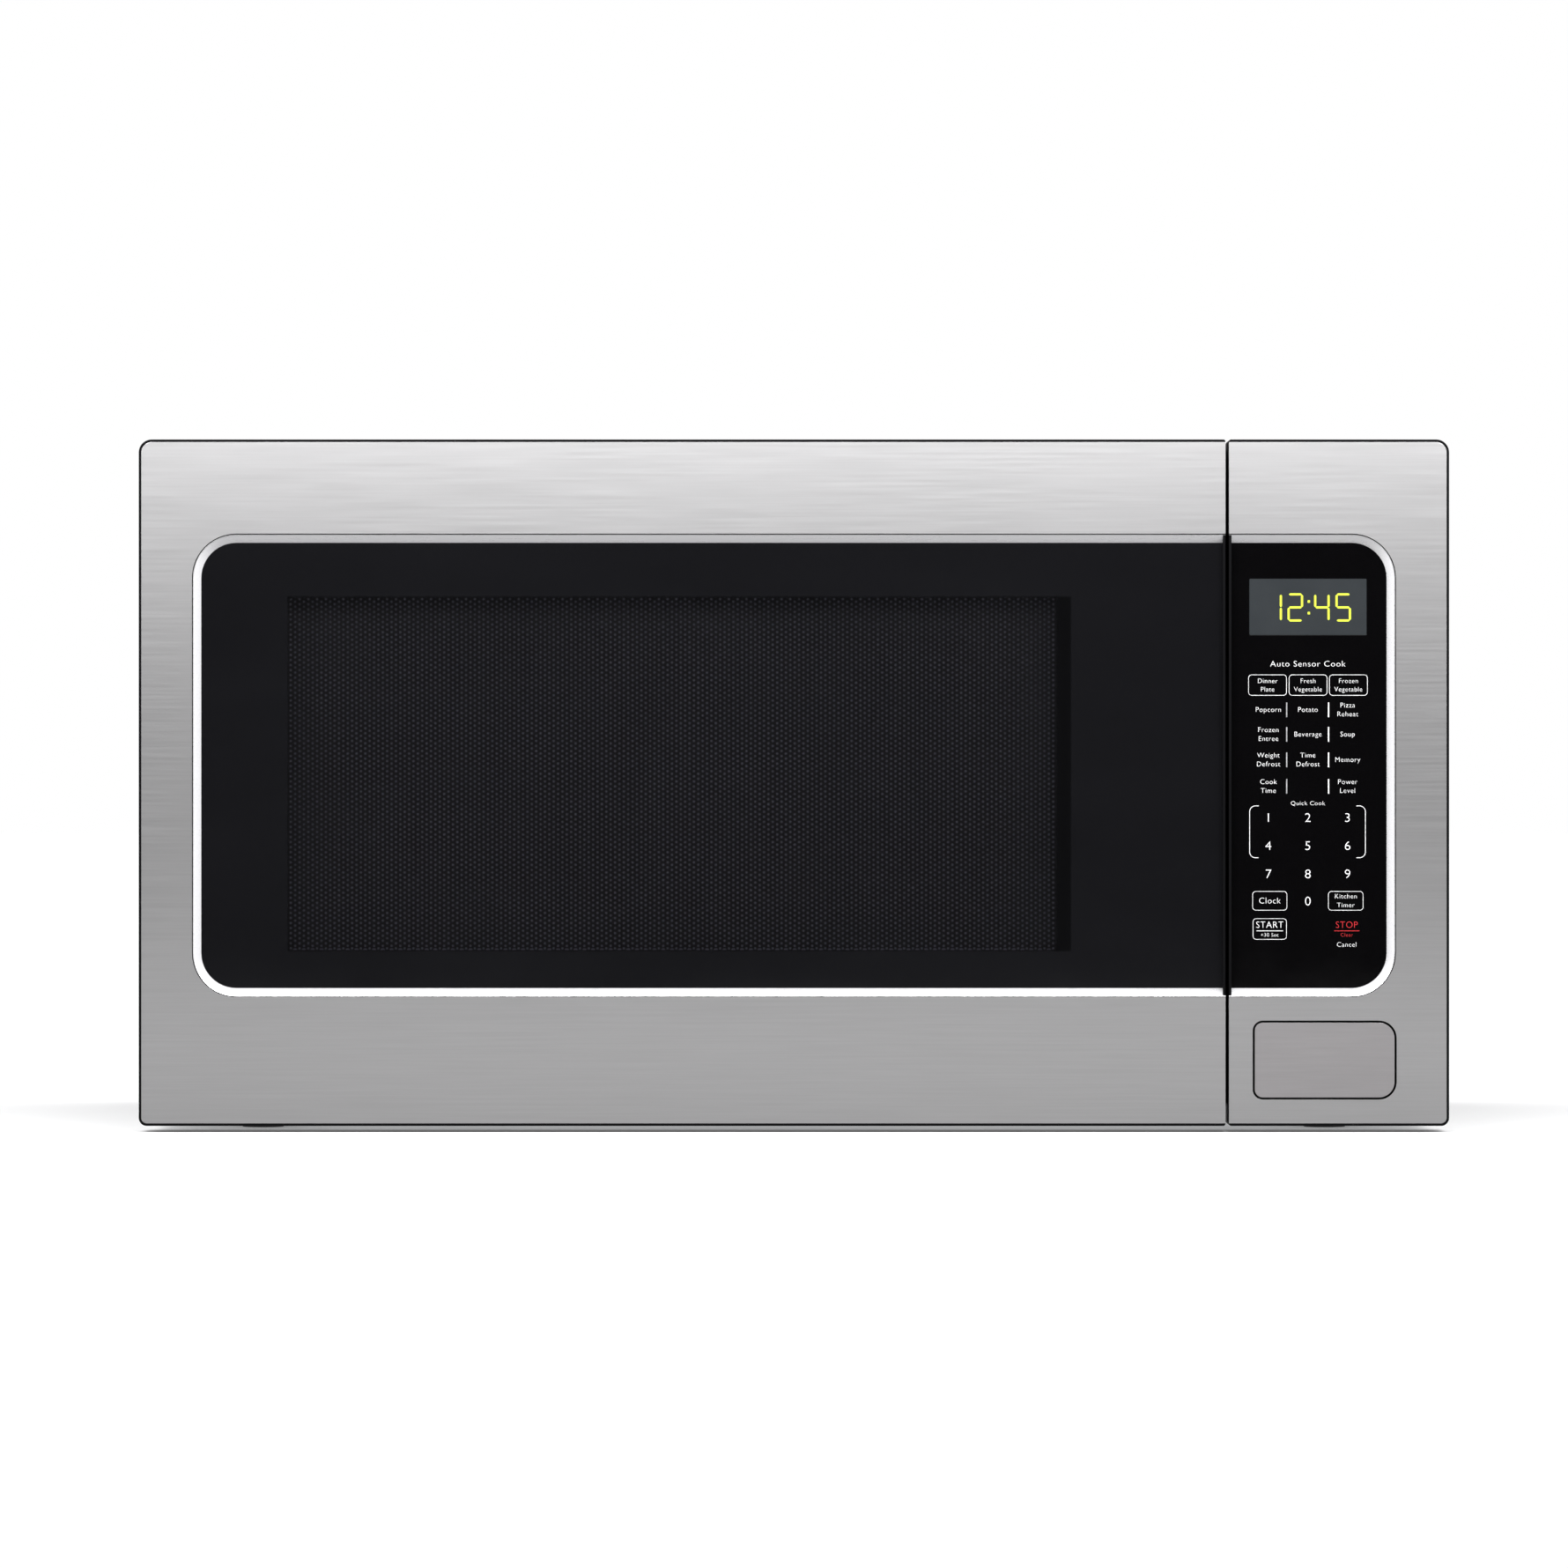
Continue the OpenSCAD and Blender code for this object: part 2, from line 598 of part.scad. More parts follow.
module fan_motor() {
    y = [fan_plate_y[1], fan_plate_y[1] + 26];
    color("slategray") difference() {
        union() {
            stand(y) round_panel([fan_x - 28, fan_x + 28], [fan_z - 22, fan_z + 22], 4);
            bar_y(fan_x, [y[1] - cut, y[1] + 5], fan_z, 9);
        }
        bar_y(fan_x, [y[0] - cut, y[0] + 14], fan_z, 2 + run_fit);
    }
}
module fan_blade() {
    hub_y = [fan_plate_y[0] - 20, fan_plate_y[0] - 3];
    blades = 6;
    blade_l = fan_r - 12;
    color("whitesmoke") {
        bar_y(fan_x, hub_y, fan_z, 13);
        bar_y(fan_x, [hub_y[1] - cut, fan_plate_y[1] + 12], fan_z, 2);
        for (i = [0:blades - 1]) translate([fan_x, (hub_y[0] + hub_y[1]) / 2, fan_z])
            rotate([0, i * 360 / blades, 0]) translate([11, 0, 0]) rotate([32, 0, 0])
                translate([0, -0.75, -13]) cube([blade_l, 1.5, 26]);
    }
}
module air_duct() {
    y = [guide_span[1] + 2, fan_plate_y[0] - shroud_l - 2];
    color("gray") difference() {
        block([mag_x[0] - 6, mag_x[1] + 6], y, [mag_z[0] - 6, mag_z[1] + 6]);
        block([mag_x[0] - 4, mag_x[1] + 4], [y[0] - cut, y[1] + cut], [mag_z[0] - 4, mag_z[1] + 4]);
    }
}

module line_filter_board() {
    color("darkgreen") {
        block(board_x, board_y, board_z);
        for (x = board_x, z = board_z) {
            cx = x + (x == board_x[0] ? 6 : -6);
            bar_y(cx, [board_y[1] - 0.5, back_panel_y[0]], z + (z == board_z[0] ? 6 : -6), 3);
        }
        block([board_x[0] + 15, board_x[0] + 40], [board_y[0] - 16, board_y[0] + 0.5],
            [board_z[0] + 15, board_z[0] + 50]);
        bar_y(board_x[1] - 40, [board_y[0] - 20, board_y[0] + 0.5], board_z[0] + 40, 12);
        bar_x([board_x[1] - 80, board_x[1] - 60], board_y[0] - 3.4, board_z[0] + 20, 3.5);
    }
}

module oven_lamp() {
    color("ivory") {
        block([bay_x[0] + 26, bay_x[0] + 44], [lamp_y - 14, lamp_y + 14], [lamp_z - 14, lamp_z + 14]);
        bar_x([bay_x[0] + 12, bay_x[0] + 27], lamp_y, lamp_z, 9);
        translate([bay_x[0] + 12, lamp_y, lamp_z]) sphere(9);
        for (s = [-1, 1]) block([bay_x[0], bay_x[0] + 44],
            [lamp_y + s * 15 - 1.2, lamp_y + s * 15 + 1.2], [lamp_z - 8, lamp_z + 8]);
    }
}

module thermostats() {
    color("black") {
        bar_z(mag_x[0] + 30, mag_y[0] + 40, [mag_z[1], mag_z[1] + 9], 8);
        bar_z(cav_x[1] - 30, cav_y[0] + 120, [cav_z[1] + sheet_t, cav_z[1] + sheet_t + 9], 8);
    }
}
module steam_sensor() {
    z = cav_z[1] + sheet_t;
    color("silver") difference() {
        block([sensor_x - 16, sensor_x + 16], [cav_y[1] - 66, cav_y[1] - 34], [z, z + 12]);
        block([sensor_x - 13, sensor_x + 13], [cav_y[1] - 63, cav_y[1] - 37], [z - cut, z + 9]);
    }
}

// ---------------------------------------------------------------- turntable

tray_z = cav_z[0] + roller_d;             // underside of the tray
tray_r = min(cav_x[1] - cav_x[0], cav_y[1] - cav_y[0]) / 2 - tray_gap;
stem_r = 4;
motor_z = [base_z[1] + 0.5, cav_z[0] - sheet_t - 0.2];
motor_bore_z = motor_z[1] - 9;

module turntable_motor() {
    color("silver") difference() {
        union() {
            bar_z(table_x, table_y, motor_z, 24);
            for (s = [-1, 1]) block([table_x - 6 + s * 26, table_x + 6 + s * 26],
                [table_y - 6, table_y + 6], [motor_z[1] - 1.5, motor_z[1] + 0.2]);
        }
        bar_z(table_x, table_y, [motor_bore_z, motor_z[1] + cut], stem_r + run_fit);
    }
}
module turntable_coupler() {
    color("whitesmoke") {
        bar_z(table_x, table_y, [motor_bore_z + 1, cav_z[0] + 2], stem_r);
        bar_z(table_x, table_y, [cav_z[0] + 1, tray_z - 0.1], 9);
        for (a = [0:120:240]) translate([table_x, table_y, 0]) rotate(a)
            block([0, 24], [-4, 4], [tray_z - 6, tray_z - 0.1]);
    }
}
module glass_tray() {
    rim_h = 14;
    color("lightcyan") {
        translate([table_x, table_y, 0]) rotate_extrude()
            polygon([[0, tray_z], [tray_r - 20, tray_z], [tray_r - 8, tray_z + 3],
                [tray_r, tray_z + rim_h - 2], [tray_r - 1, tray_z + rim_h], [tray_r - 3, tray_z + rim_h],
                [tray_r - 11, tray_z + 8], [tray_r - 22, tray_z + 5], [0, tray_z + 5]]);
        for (a = [60:120:300]) translate([table_x, table_y, 0]) rotate(a)
            bar_z(18, 0, [tray_z - 4, tray_z + 1], 4);
    }
}

axle_z = cav_z[0] + roller_d / 2;
axle_r = 1.9;
wheel_w = 8;
module roller_ring() {
    out = roller_track_r - wheel_w / 2 - 1;
    color("whitesmoke") translate([table_x, table_y, axle_z]) {
        for (r = [[out - 6, out], [27, 31]]) translate([0, 0, -2.5]) linear_extrude(5)
            difference() {
                circle(r[1]);
                circle(r[0]);
            }
        for (a = [90:120:330]) rotate(a) {
            block([30, out - 5], [-2.5, 2.5], [-2, 2]);
            bar_x([out - 3, out + wheel_w + 2.6], 0, 0, axle_r);
            bar_x([out + wheel_w + 1.6, out + wheel_w + 3], 0, 0, axle_r + 1.2);
        }
    }
}
module roller_wheel(i) {
    color("white") translate([table_x, table_y, axle_z]) rotate(90 + 120 * i)
        difference() {
            bar_x([roller_track_r - wheel_w / 2, roller_track_r + wheel_w / 2], 0, 0,
                roller_d / 2 - roller_gap);
            bar_x([roller_track_r - wheel_w, roller_track_r + wheel_w], 0, 0, axle_r + run_fit);
        }
}

// ---------------------------------------------------------------- hinge and latch in the cabinet

module hinge_brackets() {
    leaf_x = [pivot_x - pin_r - 0.5, pivot_x + 6];
    leaf_y = [pivot_y - 5, flange_y[1]];
    color("silver") {
        block(leaf_x, leaf_y, upper_leaf_z);
        block([leaf_x[0], leaf_x[0] + 9], flange_y, [upper_leaf_z[0] - 30, upper_leaf_z[1]]);
        bar_z(pivot_x, pivot_y, [upper_leaf_z[0] - pin_h, upper_leaf_z[1]], pin_r);
        block(leaf_x, leaf_y, lower_leaf_z);
        block([leaf_x[0], leaf_x[0] + 9], flange_y, [lower_leaf_z[0], lower_leaf_z[1] + 30]);
        bar_z(pivot_x, pivot_y, [lower_leaf_z[0], lower_leaf_z[1] + pin_h], pin_r);
    }
}

ear_x = [[hook_x - 13, hook_x - 10], [hook_x + 6, hook_x + 10]];
switch_y = [hook_tip_y + 7, hook_tip_y + 35];
module latch_board() {
    color("ivory") difference() {
        union() {
            block([hook_x - 16, hook_x + 14], latch_y,
                [lever_z - 8, upper_hook_z + barb_h + hook_arm_h + 16]);
            for (x = ear_x) across(x) union() {
                translate([lever_y, lever_z]) circle(5.5);
                polygon([[latch_y[0], lever_z - 6], [lever_y, lever_z - 5.5],
                    [lever_y, lever_z + 5.5], [latch_y[0], lever_z + 6]]);
            }
            for (z = [lower_hook_z, upper_hook_z])
                block(web_x, [latch_y[0], switch_y[1] + 1], [z, z + 20]);
            block([hook_x - 10, hook_x + 6.5], [latch_y[0], hook_tip_y - barb_l - 1],
                [upper_hook_z - 12, upper_hook_z - 0.5]);
        }
        for (x = ear_x) bar_x([x[0] - cut, x[1] + cut], lever_y, lever_z, lever_r + run_fit);
        stand([latch_y[0] - cut, latch_y[1] + cut]) {
            hook_slot(lower_hook_z);
            translate([0, 1]) hook_slot(upper_hook_z);
        }
        block([hook_x - 9.8, hook_x + 5.8], [latch_y[1], switch_y[1]],
            [lever_z - 7, lower_hook_z + 0.2]);
    }
}

plunger_r = 1.5;
switch_mid = barb_h + hook_arm_h / 2;     // a hook's middle above its barb's underside
plunger_y = [hook_tip_y + fit, switch_y[0] + 3];
module interlock_switches() {
    color("black") for (z = [lower_hook_z, upper_hook_z]) difference() {
        block([web_x[0] - 10, web_x[0]], switch_y, [z + switch_mid - 8, z + switch_mid + 8]);
        bar_y(hook_x, [switch_y[0] - cut, switch_y[0] + 6], z + switch_mid, plunger_r + run_fit);
    }
}
module switch_plunger(z) {
    color("red") bar_y(hook_x, plunger_y, z + switch_mid, plunger_r);
}

arm_x = [rod_x - 4, rod_x + 4];
module release_lever() {
    color("ivory") {
        bar_x([ear_x[0][0], arm_x[1]], lever_y, lever_z, lever_r);
        block([hook_x - 4, hook_x + 4], [lever_y - 1, lever_y + lever_reach],
            [lever_z + 0.5, lever_z + lever_top]);
        block(arm_x, [lever_y - 2, lever_y + 2], [rod_z - 5, lever_z + 1]);
    }
}

// ---------------------------------------------------------------- control column

display_x = [column_x[0] + 9.5, column_x[0] + 9.5 + display_w];
display_z = [glass_z[1] - 16.6 - display_h, glass_z[1] - 16.6];

module panel_frame() {
    color("black") difference() {
        union() {
            difference() {
                stand([front_y, front_plate_y[0]]) column_outline();
                difference() {
                    stand([face_wall_y[1], front_plate_y[0] + cut]) column_outline(wall_t);
                    stand([face_wall_y[1] - cut, ledge_y[1]]) glass_outline(rim_w + wall_t);
                }
            }
            stand([skin_y[1], button_back_y - 1]) intersection() {
                button_outline(-wall_t);
                column_outline(1);
            }
        }
        stand([front_y - cut, skin_y[1]]) column_outline(edge_w);
        stand([front_y - cut, glass_y[1]]) intersection() {
            glass_outline(rim_w + 0.2);
            column_outline(edge_w);
        }
        stand([front_y - cut, ledge_y[1] + cut])
            round_panel([display_x[0] - 1, display_x[1] + 1], [display_z[0] - 1, display_z[1] + 1], 1.5);
        stand([front_y - cut, button_back_y + cut]) button_outline();
        stand([glass_y[1] - cut, ledge_y[1] + cut])
            round_panel([column_x[0] + 24, column_x[0] + 50], [glass_z[0] + 8, glass_z[0] + 14], 1);
    }
}
module panel_skin() {
    color("silver") difference() {
        union() {
            stand(skin_y) column_outline(edge_w);
            stand(rim_y) intersection() {
                glass_outline(rim_w);
                column_outline(edge_w);
            }
        }
        stand([front_y - cut, rim_y[0]]) glass_outline(rim_w);
        stand([front_y - cut, rim_y[1] + cut]) glass_outline();
        stand([front_y - cut, rim_y[1] + cut]) button_outline();
    }
}
module keypad_overlay() {
    color([0.03, 0.03, 0.03]) difference() {
        stand([glass_y[0], glass_y[1]]) intersection() {
            glass_outline(rim_w);
            column_outline(edge_w);
        }
        stand([glass_y[0] - cut, glass_y[1] + cut]) panel(display_x, display_z, [0.5, 0.5, 0.5, 0.5]);
    }
}
module display_window() {
    color("slategray") stand([glass_y[0], glass_y[1]])
        panel([display_x[0] + 0.1, display_x[1] - 0.1], [display_z[0] + 0.1, display_z[1] - 0.1],
            [0.5, 0.5, 0.5, 0.5]);
}
module display_module() {
    color("darkslategray") union() {
        block(display_x, [glass_y[1], glass_y[1] + 9], display_z);
        block([display_x[0] - 2, display_x[1] + 2], [ledge_y[1] + 0.5, glass_y[1] + 9],
            [display_z[0] - 2, display_z[1] + 2]);
    }
}
board_front_y = glass_y[1] + 9;
module control_board() {
    x = [column_x[0] + 5, column_x[1] - 10];
    z = [glass_z[0] + 10, glass_z[1] - 6];
    color("darkgreen") {
        block(x, [board_front_y, board_front_y + 1.6], z);
        block([x[0] + 10, x[0] + 42], [board_front_y + 1, board_front_y + 19], [z[0] + 60, z[0] + 92]);
        for (i = [0:2]) block([x[0] + 50, x[0] + 68], [board_front_y + 1, board_front_y + 16],
            [z[0] + 20 + 26 * i, z[0] + 40 + 26 * i]);
        bar_y(x[0] + 24, [board_front_y + 1, board_front_y + 15], z[0] + 120, 7);
        for (px = [x[0] + 4, x[1] - 4], pz = [z[0] + 4, z[1] - 4])
            bar_y(px, [ledge_y[1], board_front_y + 0.5], pz, 2.5);
    }
}

module release_button() {
    color("dimgray") {
        difference() {
            union() {
                stand([skin_y[1], button_back_y]) button_outline(button_gap);
                stand([button_back_y - 0.7, button_back_y + 1.5]) button_outline(-1.2);
            }
            stand([skin_y[1] + 3, button_back_y + 3]) button_outline(button_gap + 2);
        }
        bar_y(rod_x, [skin_y[1] + 2, button_back_y - 2], rod_z, spring_r + 2.5);
        bar_y(rod_x, [skin_y[1] + 2, rod_tip_y], rod_z, rod_r);
    }
}
module button_skin() {
    color("silver") stand(skin_y) button_outline(button_gap);
}
module button_spring() {
    color("silver") translate([rod_x, button_back_y - 2, rod_z]) rotate([-90, 0, 0])
        coil(spring_r, spring_wire, front_plate_y[0] - button_back_y + 2, 7);
}

// ---------------------------------------------------------------- door

hinge_block = 14;                         // height of the plastic round each bush
upper_bush_z = [upper_leaf_z[0] - bush_gap - pin_h, upper_leaf_z[0] - bush_gap];
lower_bush_z = [lower_leaf_z[1] + bush_gap, lower_leaf_z[1] + bush_gap + pin_h];
door_bosses = [for (x = [door_x[0] + 30, door_x[1] - 12], z = [face_z[0] + 12, face_z[1] - 12]) [x, z]];
boss_r = 4.5;

module door_frame() {
    color("black") difference() {
        union() {
            difference() {
                stand([front_y, door_back_y]) door_outline();
                difference() {
                    stand([face_wall_y[1], door_back_y + cut]) door_outline(wall_t);
                    stand([face_wall_y[1] - cut, ledge_y[1]]) glass_outline(rim_w + wall_t);
                }
            }
            for (z = [upper_bush_z, lower_bush_z])
                block([door_x[0] + 1, pivot_x + bush_r + 2.5], [pivot_y - bush_r - 2.5, cover_y[0]],
                    [min(z[0], z[1] - hinge_block), max(z[1], z[0] + hinge_block)]);
            block([door_x[0] + 1, door_x[0] + rail_w], [door_back_y - rail_w, door_back_y],
                [face_z[0] + 1, face_z[1] - 1]);
            for (p = door_bosses) bar_y(p[0], [face_wall_y[1] - 0.5, screen_y[1]], p[1], boss_r);
        }
        stand([front_y - cut, skin_y[1]]) door_outline(edge_w);
        stand([front_y - cut, glass_y[1]]) intersection() {
            glass_outline(rim_w + 0.2);
            door_outline(edge_w);
        }
        stand([front_y - cut, ledge_y[1] + cut]) intersection() {
            glass_outline(-ledge_w);
            translate([-ledge_w, 0]) door_outline(0);
        }
        for (z = [[upper_bush_z[0], upper_leaf_z[1] + leaf_gap],
                  [lower_leaf_z[0] - leaf_gap, lower_bush_z[1]]])
            bar_z(pivot_x, pivot_y, z, bush_r);
        for (z = [upper_leaf_z, lower_leaf_z])
            block([door_x[0] - cut, notch_x], [notch_y, door_back_y + cut],
                [z[0] - leaf_gap, z[1] + leaf_gap]);
        for (p = door_bosses) bar_y(p[0], [screen_y[1] - 10, screen_y[1] + cut], p[1], 1.5);
        rear_edge_round();
    }
}

// rounds the vertical edge behind the pivot, so that the door clears the front plate
module rear_edge_round() {
    r = pivot_side;
    translate([door_x[0], door_back_y, face_z[0] - cut]) linear_extrude(fascia_h + 2 * cut)
        difference() {
            translate([-cut, -r]) square([r + cut, r + cut]);
            translate([r, -r]) circle(r);
        }
}

module door_skin() {
    color("silver") difference() {
        union() {
            stand(skin_y) door_outline(edge_w);
            stand(rim_y) intersection() {
                glass_outline(rim_w);
                door_outline(edge_w);
            }
        }
        stand([front_y - cut, rim_y[0]]) glass_outline(rim_w);
        stand([front_y - cut, rim_y[1] + cut]) glass_outline();
    }
}
module door_glass() {
    color([0.1, 0.1, 0.1]) stand(glass_y) intersection() {
        glass_outline(rim_w);
        door_outline(edge_w);
    }
}
module door_screen() {
    color("darkgray") stand(screen_y) round_panel([screen_x[0] - screen_lap, screen_x[1] + screen_lap],
        [screen_z[0] - screen_lap, screen_z[1] + screen_lap], 4);
}

// rectangular ring wall that stands back from the choke panel
module ring_wall(x, z, r, t, y) {
    stand(y) difference() {
        round_panel(x, z, r);
        round_panel([x[0] + t, x[1] - t], [z[0] + t, z[1] - t], r - t);
    }
}
module choke_panel() {
    t = 1;
    y = [choke_y[1] - 0.2, cover_y[0]];
    plate_x = [channel_x[0], door_x[1] - wall_t - fit];
    color("gainsboro") difference() {
        union() {
            stand(choke_y) round_panel(plate_x,
                [face_z[0] + wall_t + fit, face_z[1] - wall_t - fit], 3);
            ring_wall(channel_x, channel_z, 6, t, y);
            ring_wall([channel_x[0] + channel_w, channel_x[1] - channel_w],
                [channel_z[0] + channel_w, channel_z[1] - channel_w], 6, t, y);
        }
        stand([choke_y[0] - cut, choke_y[1] + cut]) round_panel(screen_x, screen_z, 3);
        for (p = door_bosses) bar_y(p[0], [choke_y[0] - cut, choke_y[1] + cut], p[1], 2.1);
    }
}
module choke_cover() {
    view = channel_w + 8;
    color([0.12, 0.12, 0.12]) difference() {
        union() {
            stand(cover_y) round_panel([door_x[0] + rail_w + fit, door_x[1] - wall_t - fit],
                [face_z[0] + wall_t + fit, face_z[1] - wall_t - fit], 2.5);
            for (s = [-1, 1]) translate([hook_x + s * (hook_t / 2 + fit + 1), 0, 0])
                block([-1, 1], [cover_y[0] - 7, cover_y[1]], [upper_hook_z - 90, upper_hook_z - 30]);
            block([hook_x + 4, hook_x + 10], [cover_y[0] - 13, cover_y[1]],
                [spring_z[0] - 2, spring_z[0]]);
        }
        stand([cover_y[0] - cut, cover_y[1] + cut]) {
            round_panel([channel_x[0] + view, channel_x[1] - view],
                [channel_z[0] + view, channel_z[1] - view], 8);
            hook_slot(lower_hook_z);
            hook_slot(upper_hook_z);
        }
        for (z = [upper_leaf_z, lower_leaf_z])
            block([door_x[0] - cut, notch_x], [notch_y, door_back_y + cut],
                [z[0] - leaf_gap, z[1] + leaf_gap]);
    }
}

module inner_window() {
    inset = channel_w + 3;
    color([0.8, 0.9, 0.95, 0.4]) stand([choke_y[1], choke_y[1] + 1])
        round_panel([channel_x[0] + inset, channel_x[1] - inset],
            [channel_z[0] + inset, channel_z[1] - inset], 4);
}

spring_z = [upper_hook_z - 140, upper_hook_z - 95];
module door_hooks() {
    plate_y = [cover_y[0] - 16, cover_y[0] - 1];
    color("dimgray") across([hook_x - hook_t / 2, hook_x + hook_t / 2]) {
        translate([plate_y[0], lower_hook_z + barb_h])
            square([plate_y[1] - plate_y[0], hook_pitch + hook_arm_h]);
        for (z = [lower_hook_z, upper_hook_z]) {
            translate([plate_y[0], z + barb_h]) square([hook_tip_y - plate_y[0], hook_arm_h]);
            polygon([[hook_tip_y - barb_l, z], [hook_tip_y - 2, z], [hook_tip_y, z + barb_h],
                [hook_tip_y, z + barb_h + 1], [hook_tip_y - barb_l, z + barb_h + 1]]);
        }
    }
    color("dimgray") block([hook_x, hook_x + 10], [cover_y[0] - 13, cover_y[0] - 9],
        [spring_z[1], spring_z[1] + 2]);
}
module hook_spring() {
    color("silver") translate([hook_x + 7, cover_y[0] - 10, spring_z[0]])
        coil(2.4, 0.4, spring_z[1] - spring_z[0], 14);
}

module door_bushes() {
    color("white") for (z = [upper_bush_z, lower_bush_z]) difference() {
        bar_z(pivot_x, pivot_y, z, bush_r);
        bar_z(pivot_x, pivot_y, [z[0] - cut, z[1] + cut], pin_r + run_fit);
    }
}
module door_screws() {
    color("gray") for (p = door_bosses) mirror([0, 1, 0])
        screw_y(p[0], -choke_y[1], p[1], 8, head_r = 3.5, head_h = 1.6, shank_r = 1.45);
}

// ---------------------------------------------------------------- placing

cabinet_wrap();
base_pan();
back_panel();
front_plate();
cavity_floor();
cavity_ceiling();
cavity_left_wall();
cavity_right_wall();
cavity_back_wall();
waveguide();
waveguide_cover();
magnetron_frame();
magnetron_core();
transformer_core();
transformer_windings();
hv_capacitor();
fan_housing();
fan_motor();
air_duct();
line_filter_board();
oven_lamp();
thermostats();
steam_sensor();
turntable_motor();
hinge_brackets();
latch_board();
interlock_switches();
panel_frame();
panel_skin();
keypad_overlay();
display_window();
display_module();
control_board();
button_spring();
feet();
cabinet_screws();
cord_gland();
fan_blade();
turntable_coupler();
glass_tray();
roller_ring();
roller_wheel(0);  // roller_wheel_1
roller_wheel(1);  // roller_wheel_2
roller_wheel(2);  // roller_wheel_3
release_button();
button_skin();
release_lever();
switch_plunger(upper_hook_z);  // switch_plunger_upper
switch_plunger(lower_hook_z);  // switch_plunger_lower
door_frame();
door_skin();
door_glass();
door_screen();
choke_panel();
choke_cover();
inner_window();
door_hooks();
hook_spring();
door_bushes();
door_screws();
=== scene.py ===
"""Looks of a countertop oven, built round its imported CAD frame."""

import json
import logging
import math
from dataclasses import dataclass, field
from enum import Enum
from functools import cache
from typing import Any, Callable, Iterable, Sequence

import bmesh
import bpy
from mathutils import Matrix, Vector


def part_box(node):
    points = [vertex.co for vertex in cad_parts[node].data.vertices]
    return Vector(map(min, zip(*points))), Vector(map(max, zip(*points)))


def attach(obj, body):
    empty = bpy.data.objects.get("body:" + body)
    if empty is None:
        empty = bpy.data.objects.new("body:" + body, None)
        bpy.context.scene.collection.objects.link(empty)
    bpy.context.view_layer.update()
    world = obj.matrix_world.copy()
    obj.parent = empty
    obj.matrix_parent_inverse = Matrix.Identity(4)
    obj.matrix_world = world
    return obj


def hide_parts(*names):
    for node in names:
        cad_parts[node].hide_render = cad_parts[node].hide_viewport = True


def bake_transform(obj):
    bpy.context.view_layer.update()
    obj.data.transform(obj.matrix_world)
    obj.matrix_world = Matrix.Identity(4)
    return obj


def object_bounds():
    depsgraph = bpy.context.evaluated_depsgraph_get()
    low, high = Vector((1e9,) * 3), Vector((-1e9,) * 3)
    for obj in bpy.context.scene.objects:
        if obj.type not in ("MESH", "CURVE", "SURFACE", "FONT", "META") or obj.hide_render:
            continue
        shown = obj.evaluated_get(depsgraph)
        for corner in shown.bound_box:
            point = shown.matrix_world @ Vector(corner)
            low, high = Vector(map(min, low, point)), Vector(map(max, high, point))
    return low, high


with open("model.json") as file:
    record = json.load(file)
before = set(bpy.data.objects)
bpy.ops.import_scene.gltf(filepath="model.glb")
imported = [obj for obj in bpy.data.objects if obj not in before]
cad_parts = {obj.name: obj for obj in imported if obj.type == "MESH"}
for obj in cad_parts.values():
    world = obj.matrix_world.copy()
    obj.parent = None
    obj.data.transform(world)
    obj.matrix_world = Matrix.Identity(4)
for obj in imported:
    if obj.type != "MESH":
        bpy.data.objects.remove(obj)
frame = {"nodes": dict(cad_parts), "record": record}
CAD_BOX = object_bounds()

log = logging.getLogger("oven")

MM = 0.001
MERGED = 1e-6
SCREEN_PITCH = 2.35 * MM
SCREEN_HOLE = 0.58 * MM
Colour = tuple[float, float, float]
Span = tuple[float, float]


# ---------------------------------------------------------------- shader graph

@dataclass(frozen=True)
class Value:
    """A node's output that Python's operators extend with Math nodes."""

    graph: "Graph"
    port: bpy.types.NodeSocket

    def __add__(self, other: Any) -> "Value":
        """Returns this value plus another."""
        return self.graph.math("ADD", self, other)

    def __sub__(self, other: Any) -> "Value":
        """Returns this value less another."""
        return self.graph.math("SUBTRACT", self, other)

    def __rsub__(self, other: Any) -> "Value":
        """Returns another value less this one."""
        return self.graph.math("SUBTRACT", other, self)

    def __mul__(self, other: Any) -> "Value":
        """Returns this value times another."""
        return self.graph.math("MULTIPLY", self, other)

    def __truediv__(self, other: Any) -> "Value":
        """Returns this value over another."""
        return self.graph.math("DIVIDE", self, other)

    def __gt__(self, other: Any) -> "Value":
        """Returns 1 where this value is above another, and 0 elsewhere."""
        return self.graph.math("GREATER_THAN", self, other)

    def __lt__(self, other: Any) -> "Value":
        """Returns 1 where this value is below another, and 0 elsewhere."""
        return self.graph.math("LESS_THAN", self, other)

    def __abs__(self) -> "Value":
        """Returns this value without its sign."""
        return self.graph.math("ABSOLUTE", self)

    __radd__ = __add__
    __rmul__ = __mul__


